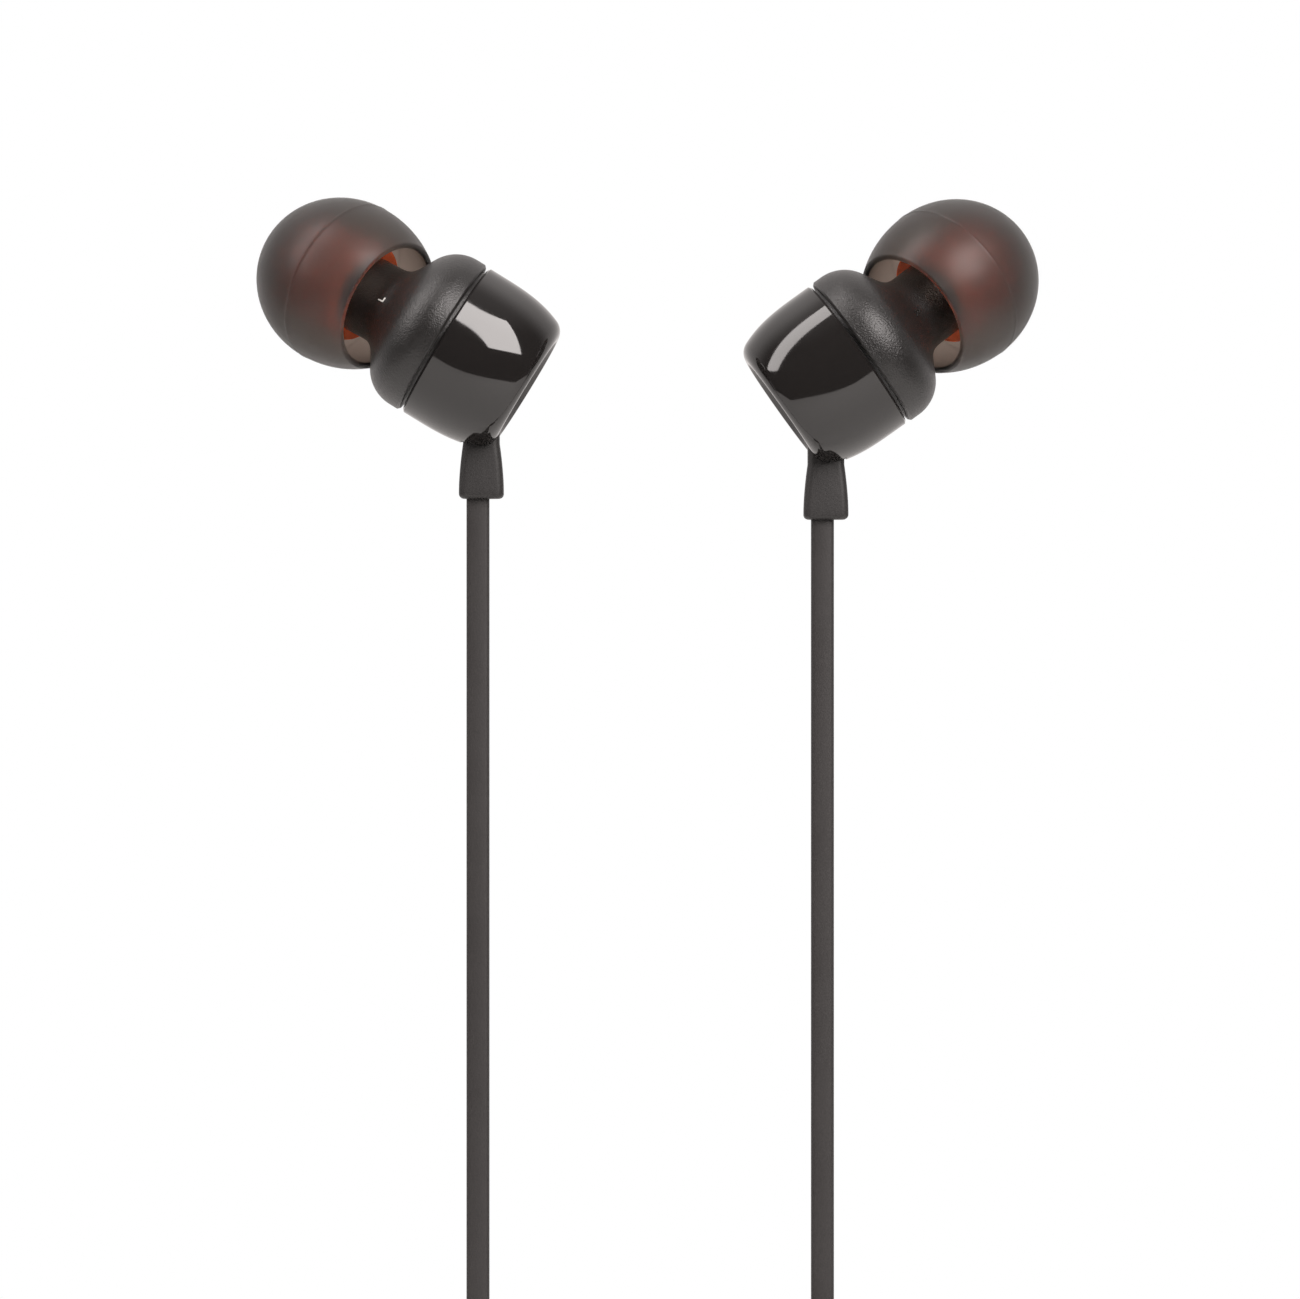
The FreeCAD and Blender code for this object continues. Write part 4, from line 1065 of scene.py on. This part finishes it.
def pill_piece(name, size, profile, centre, finish):
    """A pill-shaped piece through (inset, y) steps, closed at both ends."""
    rings = [pill_ring(size[0], size[1], inset, y, centre) for inset, y in profile]
    start = pill_ring(size[0], size[1], size[0] / 2, profile[0][1], centre)
    end = pill_ring(size[0], size[1], size[0] / 2, profile[-1][1], centre)
    return ring_piece(name, [start] + rings + [end], finish)


def round_edge(y, radius, way):
    """Steps of a rounded edge: from the flat face at y outwards to the side."""
    steps = []
    for step in range(7):
        angle = math.pi / 2 * step / 6
        steps.append((radius * (1 - math.sin(angle)), y + way * radius * (1 - math.cos(angle))))
    return steps


back_profile = [(0.06, 0.02), (0.0, 0.10)] + round_edge(REMOTE_BACK, REMOTE_EDGE_ROUND, -1)[::-1]
back_shell = pill_piece("remote_back", REMOTE_SIZE, back_profile, REMOTE_CENTRE, "matte_black")
settle(back_shell, "root", "matte_black", "remote_back_shell")

front_profile = round_edge(-REMOTE_FRONT, REMOTE_EDGE_ROUND, 1) + [(0.0, -0.10), (0.06, -0.02)]
remote_front = pill_piece("remote_front", REMOTE_SIZE, front_profile, REMOTE_CENTRE, "matte_black")
button_centre = REMOTE_CENTRE + Vector((0, 0, BUTTON_LIFT))
opening_size = [side_length + 2 * BUTTON_GAP for side_length in BUTTON_SIZE]
mic_centre = REMOTE_CENTRE + Vector((0, 0, MIC_DROP))
for cutter in (pill_cutter("opening", opening_size, POCKET_DEPTH, button_centre),
               pill_cutter("mic_hole", MIC_HOLE, MIC_DEPTH, mic_centre)):
    remote_front = cut_with(remote_front, cutter, "matte_black")
settle(remote_front, "root", "matte_black", "remote_front_shell")

button_profile = [(0.70, -REMOTE_FRONT - BUTTON_PROUD + 0.10)]
button_profile += round_edge(-REMOTE_FRONT - BUTTON_PROUD, 0.35, 1)
button_profile += [(0.0, -REMOTE_FRONT + 0.70)]
button = pill_piece("button", BUTTON_SIZE, button_profile, button_centre, "button_gloss")
settle(button, "remote_button", "button_gloss", "remote_button")

# %% [markdown]
# ## Plug
# A 3.5 mm plug: a slim grip that two fingers can hold, a short ringed relief, and a pin whose
# poles are plated and parted by dark collars. Everything on it is turned.

# %% Plug
PLUG_AXIS = (-11.74, 4.43)
GRIP_LOW_Z = -163.60
GRIP_RADIUS = 3.60
GRIP_LENGTH = 14.50
RELIEF_LENGTH = 7.00
PIN_RADIUS = 1.75
PIN_CORE = 1.10
PIN_LENGTH = 14.00
GRIP_RINGS = 7
GRIP_RING_PITCH = 1.05
GRIP_RING_CUT = 0.16
SLEEVE_RADIUS = 2.20
SLEEVE_TAPER = 0.75
SLEEVE_RINGS = 6
SLEEVE_RING_CUT = 0.28
NOSE_START = 10.20
NOSE_ROUND = 0.90
POLES = [("plug_sleeve", 0.0, 4.50), ("plug_rear_ring", 5.00, 2.10), ("plug_front_ring", 7.60, 2.10)]

plug_place = Matrix.Translation((*PLUG_AXIS, GRIP_LOW_Z))
grip_corners = [(0, 0), (GRIP_RADIUS, 0), (GRIP_RADIUS, 1.2)]
for ring_index in range(GRIP_RINGS):
    low = 1.8 + ring_index * GRIP_RING_PITCH
    grip_corners += [(GRIP_RADIUS, low), (GRIP_RADIUS - GRIP_RING_CUT, low + 0.18),
                     (GRIP_RADIUS - GRIP_RING_CUT, low + 0.42), (GRIP_RADIUS, low + 0.60)]
grip_corners += [(GRIP_RADIUS, 9.9), (3.30, 12.6), (2.50, GRIP_LENGTH), (0, GRIP_LENGTH)]
grip = lathe_piece("grip", softened(grip_corners, 0.30), plug_place, "matte_black")
settle(grip, "root", "matte_black", "plug_grip")

sleeve_corners = [(0, GRIP_LENGTH), (SLEEVE_RADIUS, GRIP_LENGTH)]
for ring_index in range(SLEEVE_RINGS):
    low = GRIP_LENGTH + 0.5 + ring_index
    radius = SLEEVE_RADIUS - SLEEVE_TAPER * (low - GRIP_LENGTH) / RELIEF_LENGTH
    sleeve_corners += [(radius, low), (radius - SLEEVE_RING_CUT, low + 0.15),
                       (radius - SLEEVE_RING_CUT, low + 0.40), (radius - 0.06, low + 0.55)]
sleeve_corners += [(1.42, GRIP_LENGTH + 6.7), (1.15, GRIP_LENGTH + RELIEF_LENGTH),
                   (0, GRIP_LENGTH + RELIEF_LENGTH)]
plug_relief = lathe_piece("plug_relief", softened(sleeve_corners, 0.08), plug_place, "black_rubber")
settle(plug_relief, "root", "black_rubber", "plug_strain_relief")

for node, start, length in POLES:
    corners = [(PIN_CORE, -start - 0.001), (PIN_RADIUS, -start - 0.001), (PIN_RADIUS, -start - length),
               (PIN_CORE, -start - length)]
    outline = softened(corners, 0.05)
    pole = lathe_piece(node + "_plate", outline, plug_place, "contact_plate", loop=True)
    settle(pole, "root", "contact_plate", node)

nose = arc((0, NOSE_ROUND - PIN_LENGTH), NOSE_ROUND, -20, -90, 10)
tip_corners = [(0, -NOSE_START), (PIN_RADIUS, -NOSE_START), (PIN_RADIUS, -NOSE_START - 0.50),
               (1.30, -11.20), (1.36, -11.50), (1.60, -11.95), (1.60, -12.10), nose[0]]
plug_nose = lathe_piece("plug_nose", softened(tip_corners, 0.12) + nose[1:], plug_place, "contact_plate")
settle(plug_nose, "root", "contact_plate", "plug_tip")

# %% [markdown]
# ## Tie
# A soft strap goes round the coil's whole section. It is drawn as a closed band with bevelled
# edges, and two shallow lines run along it near its edges.

# %% Coil tie
TIE_TURN = 125.0
TIE_LOW = (9.675, -4.62)
TIE_HIGH = (14.725, 5.63)
TIE_BAND = 0.50
TIE_HALF_WIDTH = 1.80
TIE_EDGE_ROUND = 0.20
TIE_LINE_CUT = 0.08
TIE_LINES = (1.10, 0.70)


def tie_ring(outset, across):
    """A ring round the coil's section: radius and depth, at a place across the strap."""
    middle = Vector(((TIE_LOW[0] + TIE_HIGH[0]) / 2, (TIE_LOW[1] + TIE_HIGH[1]) / 2, across))
    width = TIE_HIGH[0] - TIE_LOW[0] + 2 * outset
    depth = TIE_HIGH[1] - TIE_LOW[1] + 2 * outset
    place = Matrix.Translation(COIL_CENTRE) @ turn_about("Y", TIE_TURN)
    return [place @ point for point in rounded_section(width, depth, 0.35 + outset, middle)]


outer_line, inner_line = TIE_LINES
face_edge = TIE_HALF_WIDTH - TIE_EDGE_ROUND
half_profile = [(0.0, TIE_HALF_WIDTH), (TIE_BAND - TIE_EDGE_ROUND, TIE_HALF_WIDTH), (TIE_BAND, face_edge),
                (TIE_BAND, outer_line), (TIE_BAND - TIE_LINE_CUT, outer_line - 0.10),
                (TIE_BAND - TIE_LINE_CUT, inner_line + 0.10), (TIE_BAND, inner_line)]
tie_profile = half_profile + [(outset, -across) for outset, across in reversed(half_profile)]
tie = ring_piece("tie", [tie_ring(outset, across) for outset, across in tie_profile],
                 "black_rubber", loop=True)
settle(tie, "root", "black_rubber", "coil_tie")

# %% [markdown]
# ## Side marks
# Each neck carries one tiny raised letter that says which ear it is for. The letters are the
# plain L and R of any pair, laid on the neck's curve. The left letter is coloured light grey as
# a painted highlight on its raised edge; the right one keeps the housing's gloss black.

# %% Side marks
# The left letter's light grey is a painted highlight, not a printed colour: both letters are moulded black.
MARKS = {"left": ("L", (-18.52, -1.46), "painted_highlight_grey"), "right": ("R", (18.75, -2.38), "gloss_black")}
MARK_SIZE = 0.85
MARK_RELIEF = 0.05
MARK_BEVEL = 0.01
# Painted highlight: a light grey finish that stands in for the glint on the left letter's edge.
add_finish("painted_highlight_grey", (0.42, 0.41, 0.39), (0.62, 0.61, 0.58), (0.35, 0.50), grain=9.0, depth=3.0)


def letter_mesh(letter):
    """A thin raised letter, flat on XY, in metres."""
    font = bpy.data.curves.new("letter", "FONT")
    font.body = letter
    font.size = MARK_SIZE * MM
    font.extrude = MARK_RELIEF * MM
    font.bevel_depth = MARK_BEVEL * MM
    font.align_x, font.align_y = "CENTER", "CENTER"
    carrier = bpy.data.objects.new("letter", font)
    bpy.context.scene.collection.objects.link(carrier)
    bpy.context.view_layer.update()
    evaluated = carrier.evaluated_get(bpy.context.evaluated_depsgraph_get())
    mesh = bpy.data.meshes.new_from_object(evaluated)
    bpy.data.objects.remove(carrier)
    return mesh


def side_mark(side):
    """A letter laid on the neck where a line straight back from (x, z) meets it."""
    letter, (x, z), finish = MARKS[side]
    shell = bpy.data.objects[side + "_front_shell"]
    _, spot, facing, _ = shell.ray_cast(metres((x, -50, z)), Vector((0, 1, 0)))
    axis = nozzle_frame(side).to_3x3() @ Vector((0, 0, 1))
    up = (axis - facing * axis.dot(facing)).normalized()
    basis = Matrix((up.cross(facing), up, facing)).transposed().to_4x4()
    mesh = letter_mesh(letter)
    mesh.transform(Matrix.Translation(spot) @ basis)
    return new_object(side + "_mark", mesh, finish)


for side in EARBUDS:
    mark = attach(side_mark(side), "root")
    print(mark.name, len(mark.data.polygons), "faces")

# %% [markdown]
# ## CAD nodes that stay
# The driver's pieces, the screens, the boards and the plug's core keep their CAD shape. Each
# gets the finish that the record names for it.

# %% Finishes on the CAD nodes
slot_of = {entry["node"]: entry["material_slot"] for entry in frame["record"]["subparts"]}
for name, node in frame["nodes"].items():
    node.data.materials.clear()
    node.data.materials.append(FINISHES[slot_of[name]])
print("slots used:", sorted(set(slot_of.values())))

# %% [markdown]

# %% [markdown]
# ## Floor and light
# A plain pale floor lies just under the plug. The backdrop is white and lights the tips from
# behind; the room on the camera's side is dim, so that the polished shells show a clear
# softbox and a dark room. Two softboxes do the modelling: a broad one high on the right and
# a narrow one on the left. A weak fill from below lifts the lower half of the shells.

# %% Floor
FLOOR_Z = -178.2
FLOOR_RADIUS = 420.0

floor_mesh = bpy.data.meshes.new("floor")
floor_ring = [metres(point) for point in
              circle(FLOOR_RADIUS, FLOOR_Z, Matrix.Translation((VIEW_CENTRE[0], 0, 0)))]
floor_mesh.from_pydata(floor_ring, [], [tuple(range(len(floor_ring)))])
add_finish("floor_paint", (0.80, 0.80, 0.79), (0.84, 0.84, 0.83), (0.85, 0.95), grain=0.05, depth=2.0)
floor = new_object("floor", floor_mesh, "floor_paint")

# %% World and lights
FRONT_ROOM = 0.10
BACKDROP = 0.92
CEILING = 0.40
WARM_WHITE = (1.0, 0.945, 0.925, 1)

world = bpy.data.worlds.new("studio")
bpy.context.scene.world = world
world.use_nodes = True
studio = world.node_tree


def studio_range(source, low, high, dim, bright):
    """A smooth change of strength over one part of the direction."""
    node = studio.nodes.new("ShaderNodeMapRange")
    node.interpolation_type = "SMOOTHSTEP"
    for label, value in (("From Min", low), ("From Max", high), ("To Min", dim), ("To Max", bright)):
        node.inputs[label].default_value = value
    studio.links.new(source, node.inputs["Value"])
    return node.outputs["Result"]


direction = studio.nodes.new("ShaderNodeTexCoord")
parts = studio.nodes.new("ShaderNodeSeparateXYZ")
studio.links.new(direction.outputs["Generated"], parts.inputs["Vector"])
behind = studio_range(parts.outputs["Y"], -0.15, 0.45, FRONT_ROOM, BACKDROP)
above = studio_range(parts.outputs["Z"], 0.55, 0.95, 0.0, CEILING)
room = math_node(studio, "ADD", behind, above)
seen = studio.nodes.new("ShaderNodeLightPath")
room_light = studio.nodes["Background"]
room_light.inputs["Color"].default_value = WARM_WHITE
studio.links.new(room, room_light.inputs["Strength"])
plain_white = studio.nodes.new("ShaderNodeBackground")
plain_white.inputs["Color"].default_value = (1, 1, 1, 1)
both = studio.nodes.new("ShaderNodeMixShader")
studio.links.new(seen.outputs["Is Camera Ray"], both.inputs["Fac"])
studio.links.new(room_light.outputs["Background"], both.inputs[1])
studio.links.new(plain_white.outputs["Background"], both.inputs[2])
studio.links.new(both.outputs["Shader"], studio.nodes["World Output"].inputs["Surface"])
bpy.context.scene.view_settings.view_transform = "Standard"


def softbox(name, azimuth, elevation, distance, width, height, radiance):
    """A rectangular light that faces the earbuds. Azimuth 0 is the camera's side."""
    turn, rise = math.radians(azimuth), math.radians(elevation)
    way = Vector((math.sin(turn) * math.cos(rise), -math.cos(turn) * math.cos(rise), math.sin(rise)))
    data = bpy.data.lights.new(name, "AREA")
    data.shape = "RECTANGLE"
    data.size = width
    data.size_y = height
    data.energy = radiance * math.pi * width * height
    data.color = WARM_WHITE[:3]
    lamp = bpy.data.objects.new(name, data)
    bpy.context.scene.collection.objects.link(lamp)
    lamp.location = way * distance + metres((0, CORD_Y, -5))
    lamp.rotation_mode = "QUATERNION"
    lamp.rotation_quaternion = way.to_track_quat("Z", "Y")
    return lamp


softbox("broad softbox", 31, 33, 0.60, 0.36, 0.40, 13.0)
softbox("narrow softbox", -67, 45, 0.60, 0.20, 0.66, 8.0)
softbox("low fill", 0, -42, 0.60, 0.60, 0.25, 0.76)
print("lights:", len(bpy.data.lights))
